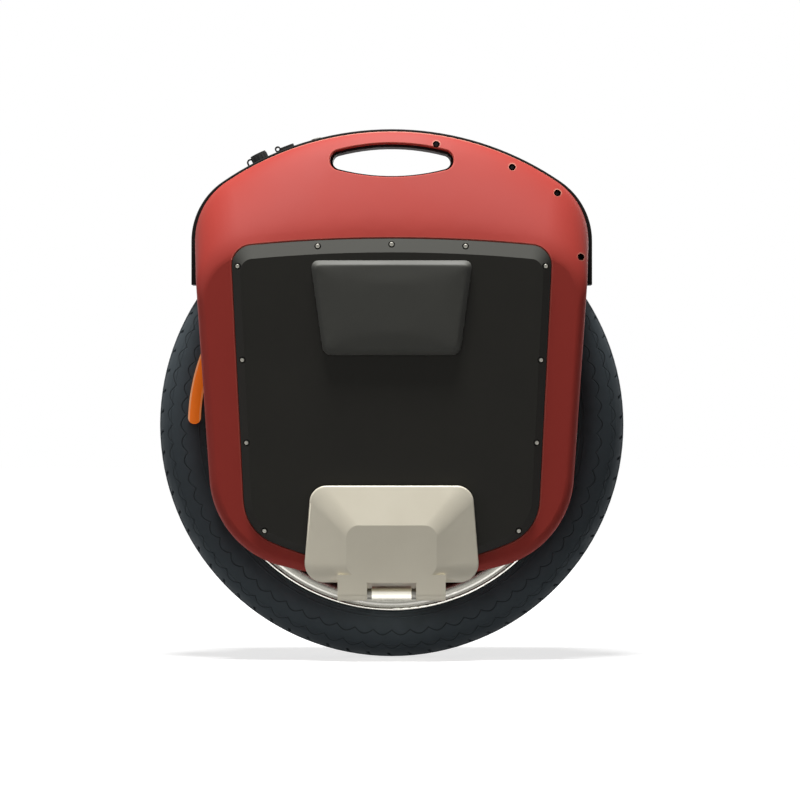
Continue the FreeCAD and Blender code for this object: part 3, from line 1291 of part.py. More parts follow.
def on_roof(shape):
    """Place a piece drawn on the XY plane on the roof of the wheel well, in the front bay."""
    lifted = shape.translated(ALONG_Z * (ROOF_RADIUS + SEAM))
    return lifted.rotated(ORIGIN, ALONG_Y, BOARD_ANGLE)


def deck_box(length, width, low, high, x=0.0, y=0.0):
    corner = FreeCAD.Vector(x - length / 2, y - width / 2, low)
    return Part.makeBox(length, width, high - low, corner)


def heat_sink():
    base = deck_box(BOARD_LENGTH, BOARD_WIDTH, 0, SINK_BASE)
    pitch = (BOARD_WIDTH - SINK_FIN) / (SINK_FINS - 1)
    fins = [deck_box(BOARD_LENGTH, SINK_FIN, 0, SINK_HEIGHT, 0, pitch * (k - (SINK_FINS - 1) / 2))
            for k in range(SINK_FINS)]
    return on_roof(join([base] + fins))


def control_board():
    return on_roof(deck_box(BOARD_LENGTH, BOARD_WIDTH, SINK_HEIGHT, SINK_HEIGHT + BOARD_THICKNESS))


def capacitors():
    low = SINK_HEIGHT + BOARD_THICKNESS
    return [on_roof(post(CAPACITOR_RADIUS, low, low + CAPACITOR_HEIGHT,
                         CAPACITOR_PITCH * (k - (CAPACITOR_COUNT - 1) / 2)))
            for k in range(CAPACITOR_COUNT)]


def motor_cable():
    """Cable from the axle end, up between the packs and over the inner wall to the control board."""
    bend = CABLE_TURN * math.sin(math.radians(45))
    start = point(0, AXLE_END, 0)
    first = point(0, AXLE_END + CABLE_TURN, CABLE_TURN)
    edges = path(start, (point(0, AXLE_END + bend, CABLE_TURN - bend), first))
    edges += rounded_path([first] + [point(*place) for place in CABLE_ROUTE])
    circle = Part.makeCircle(CABLE_RADIUS, start, ALONG_Y)
    return Part.Wire(edges).makePipeShell([Part.Wire(circle)], True, False)


def rounded_path(points):
    """Straight runs joined by tangent arcs as large as the runs allow."""
    edges = []
    here = points[0]
    for before, corner, after in zip(points, points[1:], points[2:]):
        back = (before - corner).normalize()
        ahead = (after - corner).normalize()
        reach = TURN_SHARE * min((before - corner).Length, (after - corner).Length)
        half = back.getAngle(ahead) / 2
        radius = reach * math.tan(half)
        middle = (back + ahead).normalize()
        nearest = corner + middle * (radius / math.sin(half) - radius)
        edges += path(here, corner + back * reach, (nearest, corner + ahead * reach))
        here = corner + ahead * reach
    return edges + path(here, points[-1])


def group(shapes):
    return Part.makeCompound(shapes)


def both(shapes):
    """A group of pieces with the same group on the other side."""
    return group(shapes + [opposite(shape) for shape in shapes])


def pieces():
    """Every piece of the unicycle by name."""
    right = {
        "shell": half_shell(),
        "side_cover": side_cover(),
        "leg_pad": leg_pad(),
        "cover_screws": group(panel_screws()),
        "pedal_hanger": pedal_hanger(),
        "hinge_pin": hinge_pin(),
        "hinge_washers": group(hinge_washers()),
        "pedal": pedal(),
        "pedal_mat": pedal_mat(),
        "battery_packs": group(battery_packs()),
        "motor_cover": motor_cover(),
        "bearing": group(bearing()),
    }
    parts = {}
    for name, shape in right.items():
        parts["right_" + name] = shape
        parts["left_" + name] = opposite(shape)
    parts.update({
        "top_spine": top_spine(),
        "shell_screws": both(shell_screws()),
        "hanger_bolts": both(hanger_bolts()),
        "axle": axle(),
        "axle_washers": both([axle_washer()]),
        "axle_nuts": both([axle_nut()]),
        "stator_spider": stator_spider(),
        "stator_core": stator_core(),
        "stator_windings": group(stator_windings()),
        "rotor_magnets": group(rotor_magnets()),
        "motor_cover_screws": both(motor_cover_screws()),
        "rim": rim(),
        "tyre": tyre(),
        "inner_tube": inner_tube(),
        "valve_stem": valve_stem(),
        "valve_cap": valve_cap(),
        "sidewall_label": sidewall_label(),
        "button_bezel": button_bezel(),
        "power_button": power_button(),
        "charge_socket": charge_socket(),
        "charge_cap": charge_cap(),
        "usb_socket": usb_socket(),
        "usb_flap": usb_flap(),
        "head_light_lens": light_lens(1),
        "head_light_housing": light_housing(1),
        "tail_light_lens": light_lens(-1),
        "tail_light_housing": light_housing(-1),
        "heat_sink": heat_sink(),
        "control_board": control_board(),
        "capacitors": group(capacitors()),
        "motor_cable": motor_cable(),
    })
    return parts


os.makedirs("parts", exist_ok=True)
for piece_name, piece in pieces().items():
    piece.translated(ALONG_Z * TYRE_RADIUS).exportStep("parts/" + piece_name + ".step")
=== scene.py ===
"""Looks of the electric unicycle: finishes, detailed pieces, studio light and camera.

Lengths are in metres, and values that end in _MM are in millimetres. The wheel rolls towards +X,
and the right side, at negative Y, faces the camera.
"""
import bmesh
import bpy
import math
from mathutils import Matrix, Vector


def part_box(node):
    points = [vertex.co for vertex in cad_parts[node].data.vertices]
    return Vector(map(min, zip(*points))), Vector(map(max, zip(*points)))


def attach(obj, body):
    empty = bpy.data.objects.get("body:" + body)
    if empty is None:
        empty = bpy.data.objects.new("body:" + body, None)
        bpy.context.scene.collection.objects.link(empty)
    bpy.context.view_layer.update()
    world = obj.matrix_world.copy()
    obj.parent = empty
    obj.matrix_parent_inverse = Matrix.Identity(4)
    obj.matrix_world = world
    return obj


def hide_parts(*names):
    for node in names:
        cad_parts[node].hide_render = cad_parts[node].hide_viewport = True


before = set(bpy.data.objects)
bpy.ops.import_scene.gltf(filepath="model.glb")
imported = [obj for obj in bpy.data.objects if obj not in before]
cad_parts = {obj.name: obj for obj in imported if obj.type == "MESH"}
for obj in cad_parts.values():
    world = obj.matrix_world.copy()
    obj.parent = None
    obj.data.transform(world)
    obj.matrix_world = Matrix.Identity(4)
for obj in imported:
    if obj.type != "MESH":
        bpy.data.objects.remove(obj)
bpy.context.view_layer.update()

from types import SimpleNamespace

MM = 0.001
SIDES = ("right", "left")
OUTWARD = {"right": -1.0, "left": 1.0}

# Camera and picture: level, far away, square on to the right side
IMAGE_WIDTH = 800
PIXELS_PER_MM = 0.99
CAMERA_DISTANCE = 4.4
CAMERA_X = 0.0083
CAMERA_HEIGHT = 0.2587
SENSOR_MM = 36.0

# Wheel, for patterns that run round the axle
AXLE = Vector((0.0, 0.0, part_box("tyre")[1].z / 2))
LABEL_RADIUS = 0.198
LABEL_WIDTH = 0.0125
LABEL_BORDER = 0.0016
RIM_LIP_LINE = 0.1856           # turned bright here and at the two edges of the band
RIM_LIP_REACH = 0.003
RIM_BAND_LINES = (0.1806, 0.1738)
RIM_BAND_REACH = 0.0016
LATHE_PITCH_MM = 0.6            # coarser than a real feed, so that its rings show
LATHE_DEPTH_MM = 0.008
TREAD_PITCHES = 70
SCALLOP_LINES = ((0.2195, 0.0), (0.2060, math.pi / 2))      # radius, and shift round the wheel
SCALLOP_HEIGHT = 0.0050
SCALLOP_REACH = 0.0010
SIDEWALL_LINES = (0.1905, 0.1935, 0.2215)       # fine rings at the bead, rim guard and shoulder
SIDEWALL_REACH = 0.0008
SIDEWALL_DEPTH_MM = 0.5

# Paler edges, partly wear and partly painted highlight, and painted light on faces that look up,
# by how far a surface turns
# pale grey laid over faces that look up: painted light from above
TOP_LIGHT_COLOUR = "#80807A"
TOP_LIGHT_FROM = 0.05                # upward share of the normal where the painted light starts
TOP_LIGHT_FULL = 0.6
EDGE_PALE_FROM = 0.99                # cosine between the surface and its rounded edge
EDGE_PALE_FULL = 0.86
EDGE_PALE_SAMPLES = 6

# Leg pads
PAD_TOP_WIDTH = 0.162
PAD_BOTTOM_WIDTH = 0.136
PAD_CORNER = 0.009
PAD_CHAMFER = 0.0055
PAD_VOXEL = 0.002
PAD_SWELL = 0.0012              # how far the foam may swell in front of its moulded flat
PAD_PRESSURE = 4.0
PAD_TENSION = 40.0
PAD_BENDING = 2.0
PAD_FRAMES = 20

# Screws: the head's parts are shares of its radius and length
COVER_SCREW_HEAD = 0.002
COVER_SCREW_SHANK = 0.0015
COVER_SOCKET = 0.5
SHELL_SCREW_HEAD = 0.0035
SHELL_SCREW_SHANK = 0.002
SHELL_SOCKET = 0.55
HEAD_WALL = 0.55
HEAD_SHOULDER = (0.12, 0.3)     # inwards and upwards
HEAD_CROWN = (0.2, 0.15)
SOCKET_DEPTH = 0.6
SOCKET_TAPER = 0.02
HEXAGON_STEP = math.radians(60)

# Lamps on the part
LAMP_BOARD_SIZE = 0.02
LAMP_BOARD_THICKNESS = 0.001
LAMP_BOARD_FLOOR = 0.0036       # middle of the board in front of the back of the tray
LAMP_BOARD_EDGE = 0.0003
EMITTER_PITCH = 0.006
EMITTER_RADIUS = 0.002
EMITTER_RISE = 0.55             # height of the dome against its radius

# Studio: name, place, point aimed at, width, depth and power in watts of each lamp
LAMPS = (
    ("overhead_box", (-0.08, -0.36, 2.3), (-0.08, -0.36, 0.0), 0.8, 0.4, 76.0),
    ("left_fill_box", (-2.2, -1.4, 0.9), (0.0, 0.0, 0.25), 1.0, 1.0, 8.0),
    ("back_fill_box", (0.6, 2.2, 0.9), (0.0, 0.0, 0.25), 1.2, 1.2, 12.0),
    ("floor_card", (0.0, -0.15, 0.012), (0.0, 0.0, 0.02), 0.36, 0.015, 0.04),
)
WORLD_FILL = 0.02               # what the world adds to the light on the object
FLOOR_SIZE = 12.0
FLOOR_GLOW_NEAR = 0.72          # under the object, where the lamps add the rest
FLOOR_GLOW_FAR = 1.0
FLOOR_NEAR = 0.2
FLOOR_FAR = 1.2


def linear(colour):
    """Linear RGBA of an sRGB hex colour."""
    values = [int(colour[k:k + 2], 16) / 255 for k in (1, 3, 5)]
    return [v / 12.92 if v <= 0.04045 else ((v + 0.055) / 1.055) ** 2.4 for v in values] + [1.0]


def add(tree, kind, inputs=None, **settings):
    """Adds a node, sets its properties and fills or links its inputs by name or number."""
    made = tree.nodes.new(kind)
    for name, value in settings.items():
        setattr(made, name, value)
    for name, value in (inputs or {}).items():
        if isinstance(value, bpy.types.NodeSocket):
            tree.links.new(value, made.inputs[name])
        else:
            made.inputs[name].default_value = value
    return made


def finish(name, dark, pale, roughness, gloss_drift=0.04, mottle_mm=60.0, grain_mm=1.2,
           grain_depth_mm=0.01, **sockets):
    """A finish whose colour drifts from dark to pale over mottle_mm, with a grain of grain_mm.

    Real grain and tool marks of under half a millimetre wouldn't show in the render, so they are
    drawn at half a millimetre or more.
    """
    made = bpy.data.materials.new(name)
    made.use_nodes = True
    tree = made.node_tree
    tree.nodes.clear()
    place = add(tree, "ShaderNodeTexCoord").outputs["Object"]
    mottle = add(tree, "ShaderNodeTexNoise",
                 {"Vector": place, "Scale": 1 / (mottle_mm * MM), "Detail": 5.0})
    grain = add(tree, "ShaderNodeTexNoise",
                {"Vector": place, "Scale": 1 / (grain_mm * MM), "Detail": 3.0})
    shade = add(tree, "ShaderNodeMix",
                {0: mottle.outputs["Fac"], 6: linear(dark), 7: linear(pale)}, data_type="RGBA")
    gloss = add(tree, "ShaderNodeMapRange",
                {"Value": mottle.outputs["Fac"], "From Min": 0.3, "From Max": 0.7,
                 "To Min": roughness - gloss_drift, "To Max": roughness + gloss_drift})
    bump = add(tree, "ShaderNodeBump",
               {"Height": grain.outputs["Fac"], "Strength": 1.0,
                "Distance": grain_depth_mm * MM})
    shader = add(tree, "ShaderNodeBsdfPrincipled",
                 {"Base Color": shade.outputs[2], "Roughness": gloss.outputs["Result"],
                  "Normal": bump.outputs["Normal"]})
    for socket, value in sockets.items():
        shader.inputs[socket.replace("_", " ")].default_value = value
    add(tree, "ShaderNodeOutputMaterial", {"Surface": shader.outputs["BSDF"]})
    return SimpleNamespace(material=made, tree=tree, place=place, bump=bump, shader=shader)


def overlaid(made, share, colour):
    """Mixes a colour over what a finish has, by a share that varies over the surface."""
    under = made.shader.inputs["Base Color"].links[0].from_socket
    mixed = add(made.tree, "ShaderNodeMix", {0: share, 6: under, 7: linear(colour)},
                data_type="RGBA")
    made.tree.links.new(mixed.outputs[2], made.shader.inputs["Base Color"])
    return made


def raised(made, height, depth_mm):
    """Adds a second relief of depth_mm over the grain of a finish."""
    relief = add(made.tree, "ShaderNodeBump",
                 {"Height": height, "Strength": 1.0, "Distance": depth_mm * MM,
                  "Normal": made.bump.outputs["Normal"]})
    made.tree.links.new(relief.outputs["Normal"], made.shader.inputs["Normal"])
    return made


def painted_top_light(made, most):
    """Paints light from above: a pale grey over the colour where a surface looks up, up to a
    share called most.
    """
    flat = add(made.tree, "ShaderNodeNewGeometry").outputs["Normal"]
    up = add(made.tree, "ShaderNodeSeparateXYZ", {0: flat}).outputs["Z"]
    # painted light: the share of pale grey rises as the surface turns to look up
    film = add(made.tree, "ShaderNodeMapRange",
               {"Value": up, "From Min": TOP_LIGHT_FROM, "From Max": TOP_LIGHT_FULL, "To Max": most},
               interpolation_type="SMOOTHSTEP")
    return overlaid(made, film.outputs["Result"], TOP_LIGHT_COLOUR)


def edge_wear_and_highlight(made, colour, reach_mm, most):
    """Makes a finish paler along its edges, up to a share called most: partly rubbed wear, partly
    a painted highlight on the rounded edges.
    """
    flat = add(made.tree, "ShaderNodeNewGeometry").outputs["Normal"]
    soft = add(made.tree, "ShaderNodeBevel", {"Radius": reach_mm * MM}, samples=EDGE_PALE_SAMPLES)
    turn = add(made.tree, "ShaderNodeVectorMath", {0: flat, 1: soft.outputs["Normal"]},
               operation="DOT_PRODUCT")
    # paler where the surface turns over a rounded edge: part wear, part painted highlight
    edge_pale = add(made.tree, "ShaderNodeMapRange",
              {"Value": turn.outputs["Value"], "From Min": EDGE_PALE_FROM, "From Max": EDGE_PALE_FULL,
               "To Max": most})
    return overlaid(made, edge_pale.outputs["Result"], colour)


def radius_from_axle(made):
    """Distance of a point from the axle line, for rings on the wheel."""
    flat = add(made.tree, "ShaderNodeVectorMath", {0: made.place, 1: (0.0, 0.0, AXLE.z)},
               operation="SUBTRACT")
    flat = add(made.tree, "ShaderNodeVectorMath",
               {0: flat.outputs["Vector"], 1: (1.0, 0.0, 1.0)}, operation="MULTIPLY")
    away = add(made.tree, "ShaderNodeVectorMath", {0: flat.outputs["Vector"]},
               operation="LENGTH")
    return away.outputs["Value"]


def near(tree, value, middle, reach):
    """One where a value lies at the middle, falling smoothly to nought at reach from it."""
    off = add(tree, "ShaderNodeMath", {0: value, 1: middle}, operation="SUBTRACT")
    off = add(tree, "ShaderNodeMath", {0: off.outputs["Value"]}, operation="ABSOLUTE")
    share = add(tree, "ShaderNodeMapRange",
                {"Value": off.outputs["Value"], "From Max": reach, "To Min": 1.0, "To Max": 0.0},
                interpolation_type="SMOOTHSTEP")
    return share.outputs["Result"]


def ring_lines(made, radius, middles, reach):
    """One along each of several rings round the axle."""
    lines = near(made.tree, radius, middles[0], reach)
    for middle in middles[1:]:
        line = near(made.tree, radius, middle, reach)
        lines = add(made.tree, "ShaderNodeMath", {0: lines, 1: line},
                    operation="MAXIMUM").outputs["Value"]
    return lines


def scallops(made, radius, middle, shift):
    """One along a ring of moulded scallops round the axle, one to each pitch of the tread."""
    tree = made.tree
    spot = add(tree, "ShaderNodeSeparateXYZ", {0: made.place})
    rise = add(tree, "ShaderNodeMath", {0: spot.outputs["Z"], 1: AXLE.z}, operation="SUBTRACT")
    turn = add(tree, "ShaderNodeMath", {0: rise.outputs["Value"], 1: spot.outputs["X"]},
               operation="ARCTAN2")
    turn = add(tree, "ShaderNodeMath",
               {0: turn.outputs["Value"], 1: TREAD_PITCHES / 2, 2: shift},
               operation="MULTIPLY_ADD")
    wave = add(tree, "ShaderNodeMath", {0: turn.outputs["Value"]}, operation="SINE")
    wave = add(tree, "ShaderNodeMath", {0: wave.outputs["Value"]}, operation="ABSOLUTE")
    level = add(tree, "ShaderNodeMath",
                {0: wave.outputs["Value"], 1: -SCALLOP_HEIGHT, 2: radius},
                operation="MULTIPLY_ADD")
    return near(tree, level.outputs["Value"], middle, SCALLOP_REACH)


def satin_red_paint():
    """Satin two-coat paint on moulded ABS: even red, faint orange peel, paler at edges, partly
    rubbed thin and partly a painted highlight.
    """
    made = finish("satin_red_paint", "#9F332B", "#AA3A30", 0.58, mottle_mm=90.0, grain_mm=1.6,
                  grain_depth_mm=0.006, Specular_IOR_Level=0.24)
    # paler edges: partly wear, partly a painted highlight along the rounded lip of the opening
    return edge_wear_and_highlight(made, "#C98A78", 2.6, 0.8)


def black_moulded_panel():
    """Black ABS from a spark-eroded mould: matt, with a fine pebble that scatters light."""
    made = finish("black_moulded_panel", "#22211E", "#2C2B27", 0.5, mottle_mm=70.0,
                  grain_mm=0.9, grain_depth_mm=0.02, Specular_IOR_Level=0.12)
    # painted light: faces that look up, such as the top border, are made paler as if lit from
    # above
    return painted_top_light(made, 0.72)


def black_moulded_spine():
    """Black ABS like the panels, a little smoother on the deck."""
    return finish("black_moulded_spine", "#1C1B1A", "#262524", 0.6, mottle_mm=50.0,
                  grain_mm=1.0, grain_depth_mm=0.012, Specular_IOR_Level=0.06)


def foam_pad_skin():
    """Moulded foam with a closed rubbery skin: soft dark grey, dry sheen, fine leather pebble."""
    made = finish("foam_pad_skin", "#353531", "#41413C", 0.58, mottle_mm=40.0, grain_mm=1.4,
                  grain_depth_mm=0.03, Specular_IOR_Level=0.25, Sheen_Weight=0.08,
                  Sheen_Roughness=0.5)
    # painted light: faces that look up, such as the top chamfer, are made paler as if lit from
    # above
    return painted_top_light(made, 0.45)


def champagne_cast_aluminium():
    """Cast aluminium, bead blasted under a pale gold lacquer: dull, barely metallic."""
    return finish("champagne_cast_aluminium", "#DFD7C2", "#E9E2CE", 0.4, mottle_mm=35.0,
                  grain_mm=0.7, grain_depth_mm=0.012, Metallic=0.06)


def lit_hinge_aluminium():
    """Hanger and hinge barrel in a paler, more metallic copy of the pedal's aluminium: pale,
    warm, satin; painted light for the light from above that the pedal keeps off them.
    """
    # painted light: paler and more metallic than the pedal, to look lit from above
    return finish("lit_hinge_aluminium", "#ECE8DA", "#F4F0E2", 0.34, mottle_mm=20.0,
                  grain_mm=0.6, grain_depth_mm=0.006, Metallic=0.85)


def oiled_spring_steel():
    """Plain spring steel of the hinge washers: mid grey under a film of oil."""
    return finish("oiled_spring_steel", "#6A6862", "#7C7A73", 0.3, mottle_mm=6.0, grain_mm=0.5,
                  grain_depth_mm=0.004, Metallic=1.0)


def bright_steel():
    """Turned and zinc plated steel: bright with faint tool marks."""
    return finish("bright_steel", "#C4C0B4", "#DAD6CA", 0.26, mottle_mm=12.0, grain_mm=0.5,
                  grain_depth_mm=0.004, Metallic=1.0)


def dull_zinc_steel():
    """Zinc plated screw heads dulled by handling: mid grey."""
    return finish("dull_zinc_steel", "#88867E", "#9E9C93", 0.36, mottle_mm=4.0, grain_mm=0.5,
                  grain_depth_mm=0.004, Metallic=1.0)


def black_oxide_steel():
    """Socket screws in black oxide: near black, oily gloss."""
    return finish("black_oxide_steel", "#1E1E20", "#2C2C2E", 0.4, mottle_mm=6.0, grain_mm=0.5,
                  grain_depth_mm=0.004, Metallic=0.8)


def polished_rim_aluminium():
    """Cast rim: blasted grey band between turned bright edges, with rings of the lathe tool."""
    made = finish("polished_rim_aluminium", "#77766F", "#8C8A82", 0.26, mottle_mm=30.0,
                  grain_depth_mm=LATHE_DEPTH_MM, Metallic=1.0)
    radius = radius_from_axle(made)
    lip = near(made.tree, radius, RIM_LIP_LINE, RIM_LIP_REACH)
    band = ring_lines(made, radius, RIM_BAND_LINES, RIM_BAND_REACH)
    bright = add(made.tree, "ShaderNodeMath", {0: lip, 1: band}, operation="MAXIMUM")
    overlaid(made, bright.outputs["Value"], "#E0DED6")
    rings = add(made.tree, "ShaderNodeMath", {0: radius, 1: 2 * math.pi / (LATHE_PITCH_MM * MM)},
                operation="MULTIPLY")
    rings = add(made.tree, "ShaderNodeMath", {0: rings.outputs["Value"]}, operation="SINE")
    made.tree.links.new(rings.outputs["Value"], made.bump.inputs["Height"])
    return made


def black_painted_casting():
    """Motor housing and covers: black powder coat with a light orange peel."""
    return finish("black_painted_casting", "#1E1E20", "#27272A", 0.45, mottle_mm=60.0,
                  grain_mm=2.0, grain_depth_mm=0.03)


def tyre_rubber():
    """Moulded tyre rubber: blue-grey black, dry, blotched with bloom, with the mould's rings, and
    painted shade in its scallop grooves.
    """
    made = finish("tyre_rubber", "#394044", "#525A5F", 0.7, gloss_drift=0.08, mottle_mm=22.0,
                  grain_mm=1.5, grain_depth_mm=0.05, Specular_IOR_Level=0.16)
    radius = radius_from_axle(made)
    lines = ring_lines(made, radius, SIDEWALL_LINES, SIDEWALL_REACH)
    outer, inner = [scallops(made, radius, middle, shift) for middle, shift in SCALLOP_LINES]
    groove_and_shade = add(made.tree, "ShaderNodeMath", {0: outer, 1: inner},
                 operation="MAXIMUM").outputs["Value"]
    # painted shade: the scallop grooves are darkened, as shade falls in them
    overlaid(made, groove_and_shade, "#2A3033")
    relief = add(made.tree, "ShaderNodeMath", {0: lines, 1: groove_and_shade}, operation="SUBTRACT")
    return raised(made, relief.outputs["Value"], SIDEWALL_DEPTH_MM)


def soft_black_rubber():
    """Moulded soft rubber of caps, mats and tubes: dull black."""
    return finish("soft_black_rubber", "#191918", "#232322", 0.66, mottle_mm=15.0, grain_mm=0.8,
                  grain_depth_mm=0.02, Specular_IOR_Level=0.35)


def orange_film_painted_glow():
    """Fluorescent vinyl film: orange with a paler border, and a faint glow of painted light that
    brightens it where the shell keeps light off it.
    """
    # painted light: the emission makes the film glow, though it is no lamp
    made = finish("orange_film_painted_glow", "#F2741C", "#FB8A34", 0.5, mottle_mm=18.0, grain_mm=0.8,
                  grain_depth_mm=0.005, Emission_Color=linear("#F2741C"), Emission_Strength=0.35)
    off = add(made.tree, "ShaderNodeMath", {0: radius_from_axle(made), 1: LABEL_RADIUS},
              operation="SUBTRACT")
    off = add(made.tree, "ShaderNodeMath", {0: off.outputs["Value"]}, operation="ABSOLUTE")
    edge = add(made.tree, "ShaderNodeMath",
               {0: off.outputs["Value"], 1: LABEL_WIDTH / 2 - LABEL_BORDER},
               operation="GREATER_THAN")
    return overlaid(made, edge.outputs["Value"], "#FFE2B4")


def stamped_steel_stack():
    """Stacked electrical steel: dull grey with a fine rough edge."""
    return finish("stamped_steel_stack", "#7E7E80", "#8F8F90", 0.4, mottle_mm=10.0, grain_mm=0.5,
                  grain_depth_mm=0.02, Metallic=0.9)


def enamelled_copper():
    """Enamelled winding wire: warm copper under clear varnish."""
    return finish("enamelled_copper", "#A8572B", "#C26A35", 0.3, mottle_mm=8.0, grain_mm=1.0,
                  grain_depth_mm=0.08, Metallic=0.85)


def nickel_plate():
    """Nickel plated magnets: bright, slightly warm."""
    return finish("nickel_plate", "#B9B8B4", "#CBCAC6", 0.22, mottle_mm=12.0, grain_mm=0.8,
                  grain_depth_mm=0.003, Metallic=1.0)


def blue_shrink_wrap():
    """PVC shrink wrap over battery cells: glossy blue, a little wrinkled."""
    return finish("blue_shrink_wrap", "#1D4C8C", "#27609F", 0.28, mottle_mm=30.0, grain_mm=14.0,
                  grain_depth_mm=0.6)


def black_connector_plastic():
    """Moulded nylon of the sockets: glossy black."""
    return finish("black_connector_plastic", "#1A1A1A", "#222222", 0.32, mottle_mm=10.0,
                  grain_mm=0.8, grain_depth_mm=0.004)


def pale_button_plastic():
    """Moulded ABS of the push button: pale grey, fine matt, faintly warm."""
    return finish("pale_button_plastic", "#A3A199", "#AFADA5", 0.6, mottle_mm=8.0, grain_mm=0.6,
                  grain_depth_mm=0.004, Specular_IOR_Level=0.15)


def clear_polycarbonate():
    """Moulded clear lens: polycarbonate, smooth enough to see the lamp tray through it."""
    return finish("clear_polycarbonate", "#EEF2F3", "#F6F9F9", 0.08, gloss_drift=0.02,
                  mottle_mm=20.0, grain_mm=3.0, grain_depth_mm=0.004, Transmission_Weight=1.0,
                  IOR=1.585)


def red_polycarbonate():
    """Moulded red lens: deeply tinted polycarbonate that lets little light through."""
    return finish("red_polycarbonate", "#B40E12", "#C4181A", 0.3, gloss_drift=0.02,
                  mottle_mm=20.0, grain_mm=3.0, grain_depth_mm=0.004, Transmission_Weight=0.15,
                  Specular_IOR_Level=0.1)


def white_reflector():
    """Moulded white lamp tray: bright and smooth."""
    return finish("white_reflector", "#D9D9D6", "#E4E4E1", 0.25, mottle_mm=12.0, grain_mm=0.8,
                  grain_depth_mm=0.004)


def green_solder_resist():
    """Circuit board under green solder resist: even green with a soft gloss."""
    return finish("green_solder_resist", "#0F5A34", "#17693F", 0.35, mottle_mm=5.0, grain_mm=1.0,
                  grain_depth_mm=0.02)


def extruded_aluminium():
    """Heat sink of plain extruded aluminium: pale grey, satin."""
    return finish("extruded_aluminium", "#A9A9A7", "#BBBBB8", 0.35, mottle_mm=14.0, grain_mm=0.6,
                  grain_depth_mm=0.008, Metallic=1.0)


def capacitor_sleeve():
    """Heat-shrink sleeve of the capacitor cans: dark, glossy."""
    return finish("capacitor_sleeve", "#17181F", "#20222B", 0.3, mottle_mm=8.0, grain_mm=0.8,
                  grain_depth_mm=0.004)


# Finishes, and the CAD nodes that wear each
FINISHES = (
    (satin_red_paint, ["right_shell", "left_shell"]),
    (black_moulded_panel, ["right_side_cover", "left_side_cover"]),
    (black_moulded_spine, ["top_spine", "button_bezel"]),
    (foam_pad_skin, ["right_leg_pad", "left_leg_pad"]),
    (champagne_cast_aluminium, ["right_pedal", "left_pedal"]),
    (lit_hinge_aluminium, ["right_pedal_hanger", "left_pedal_hanger"]),
    (oiled_spring_steel, ["right_hinge_washers", "left_hinge_washers"]),
    (bright_steel, ["right_hinge_pin", "left_hinge_pin", "hanger_bolts", "axle", "axle_washers",
                    "axle_nuts", "right_bearing", "left_bearing", "motor_cover_screws"]),
    (dull_zinc_steel, ["right_cover_screws", "left_cover_screws"]),
    (black_oxide_steel, ["shell_screws"]),
    (polished_rim_aluminium, ["rim", "stator_spider", "valve_stem"]),
    (black_painted_casting, ["right_motor_cover", "left_motor_cover"]),
    (tyre_rubber, ["tyre"]),
    (soft_black_rubber, ["inner_tube", "valve_cap", "right_pedal_mat", "left_pedal_mat",
                         "charge_cap", "usb_flap", "motor_cable"]),
    (orange_film_painted_glow, ["sidewall_label"]),
    (stamped_steel_stack, ["stator_core"]),
    (enamelled_copper, ["stator_windings"]),
    (nickel_plate, ["rotor_magnets"]),
    (blue_shrink_wrap, ["right_battery_packs", "left_battery_packs"]),
    (black_connector_plastic, ["charge_socket", "usb_socket"]),
    (pale_button_plastic, ["power_button"]),
    (clear_polycarbonate, ["head_light_lens"]),
    (red_polycarbonate, ["tail_light_lens"]),
    (white_reflector, ["head_light_housing", "tail_light_housing"]),
    (green_solder_resist, ["control_board"]),
    (extruded_aluminium, ["heat_sink"]),
    (capacitor_sleeve, ["capacitors"]),
)
for make, nodes in FINISHES:
    material = make().material
    for node in nodes:
        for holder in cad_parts[node].material_slots:
            holder.material = material


def piece(name, mesh, body, like, replaces=(), crease=40.0):
    """Makes a mesh an object that rides on a body and wears the finish of a CAD node."""
    data = bpy.data.meshes.new(name)
    mesh.to_mesh(data)
    mesh.free()
    data.shade_smooth()
    data.set_sharp_from_angle(angle=math.radians(crease))
    data.materials.append(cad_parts[like].material_slots[0].material)
    made = bpy.data.objects.new(name, data)
    bpy.context.scene.collection.objects.link(made)
    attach(made, body)
    if replaces:
        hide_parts(*replaces)
    return made


def solids(node):
    """Lowest and highest corner of each separate solid of a CAD node."""
    mesh = bmesh.new()
    mesh.from_mesh(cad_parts[node].data)
    bmesh.ops.remove_doubles(mesh, verts=mesh.verts[:], dist=0.01 * MM)
    left = set(mesh.verts)
    boxes = []
    while left:
        group = [left.pop()]
        for vertex in group:
            for edge in vertex.link_edges:
                other = edge.other_vert(vertex)
                if other in left:
                    left.remove(other)
                    group.append(other)
        spots = [vertex.co for vertex in group]
        boxes.append([Vector([pick(spot[k] for spot in spots) for k in range(3)])
                      for pick in (min, max)])
    mesh.free()
    return sorted(boxes, key=lambda box: tuple(box[0]))


def lifted(mesh, faces, offset):
    """Extrudes faces by an offset and gives the faces at the far end."""
    rise = bmesh.ops.extrude_face_region(mesh, geom=faces)["geom"]
    bmesh.ops.translate(mesh, vec=offset,
                        verts=[part for part in rise if isinstance(part, bmesh.types.BMVert)])
    bmesh.ops.recalc_face_normals(mesh, faces=mesh.faces[:])
    return [part for part in rise if isinstance(part, bmesh.types.BMFace)]


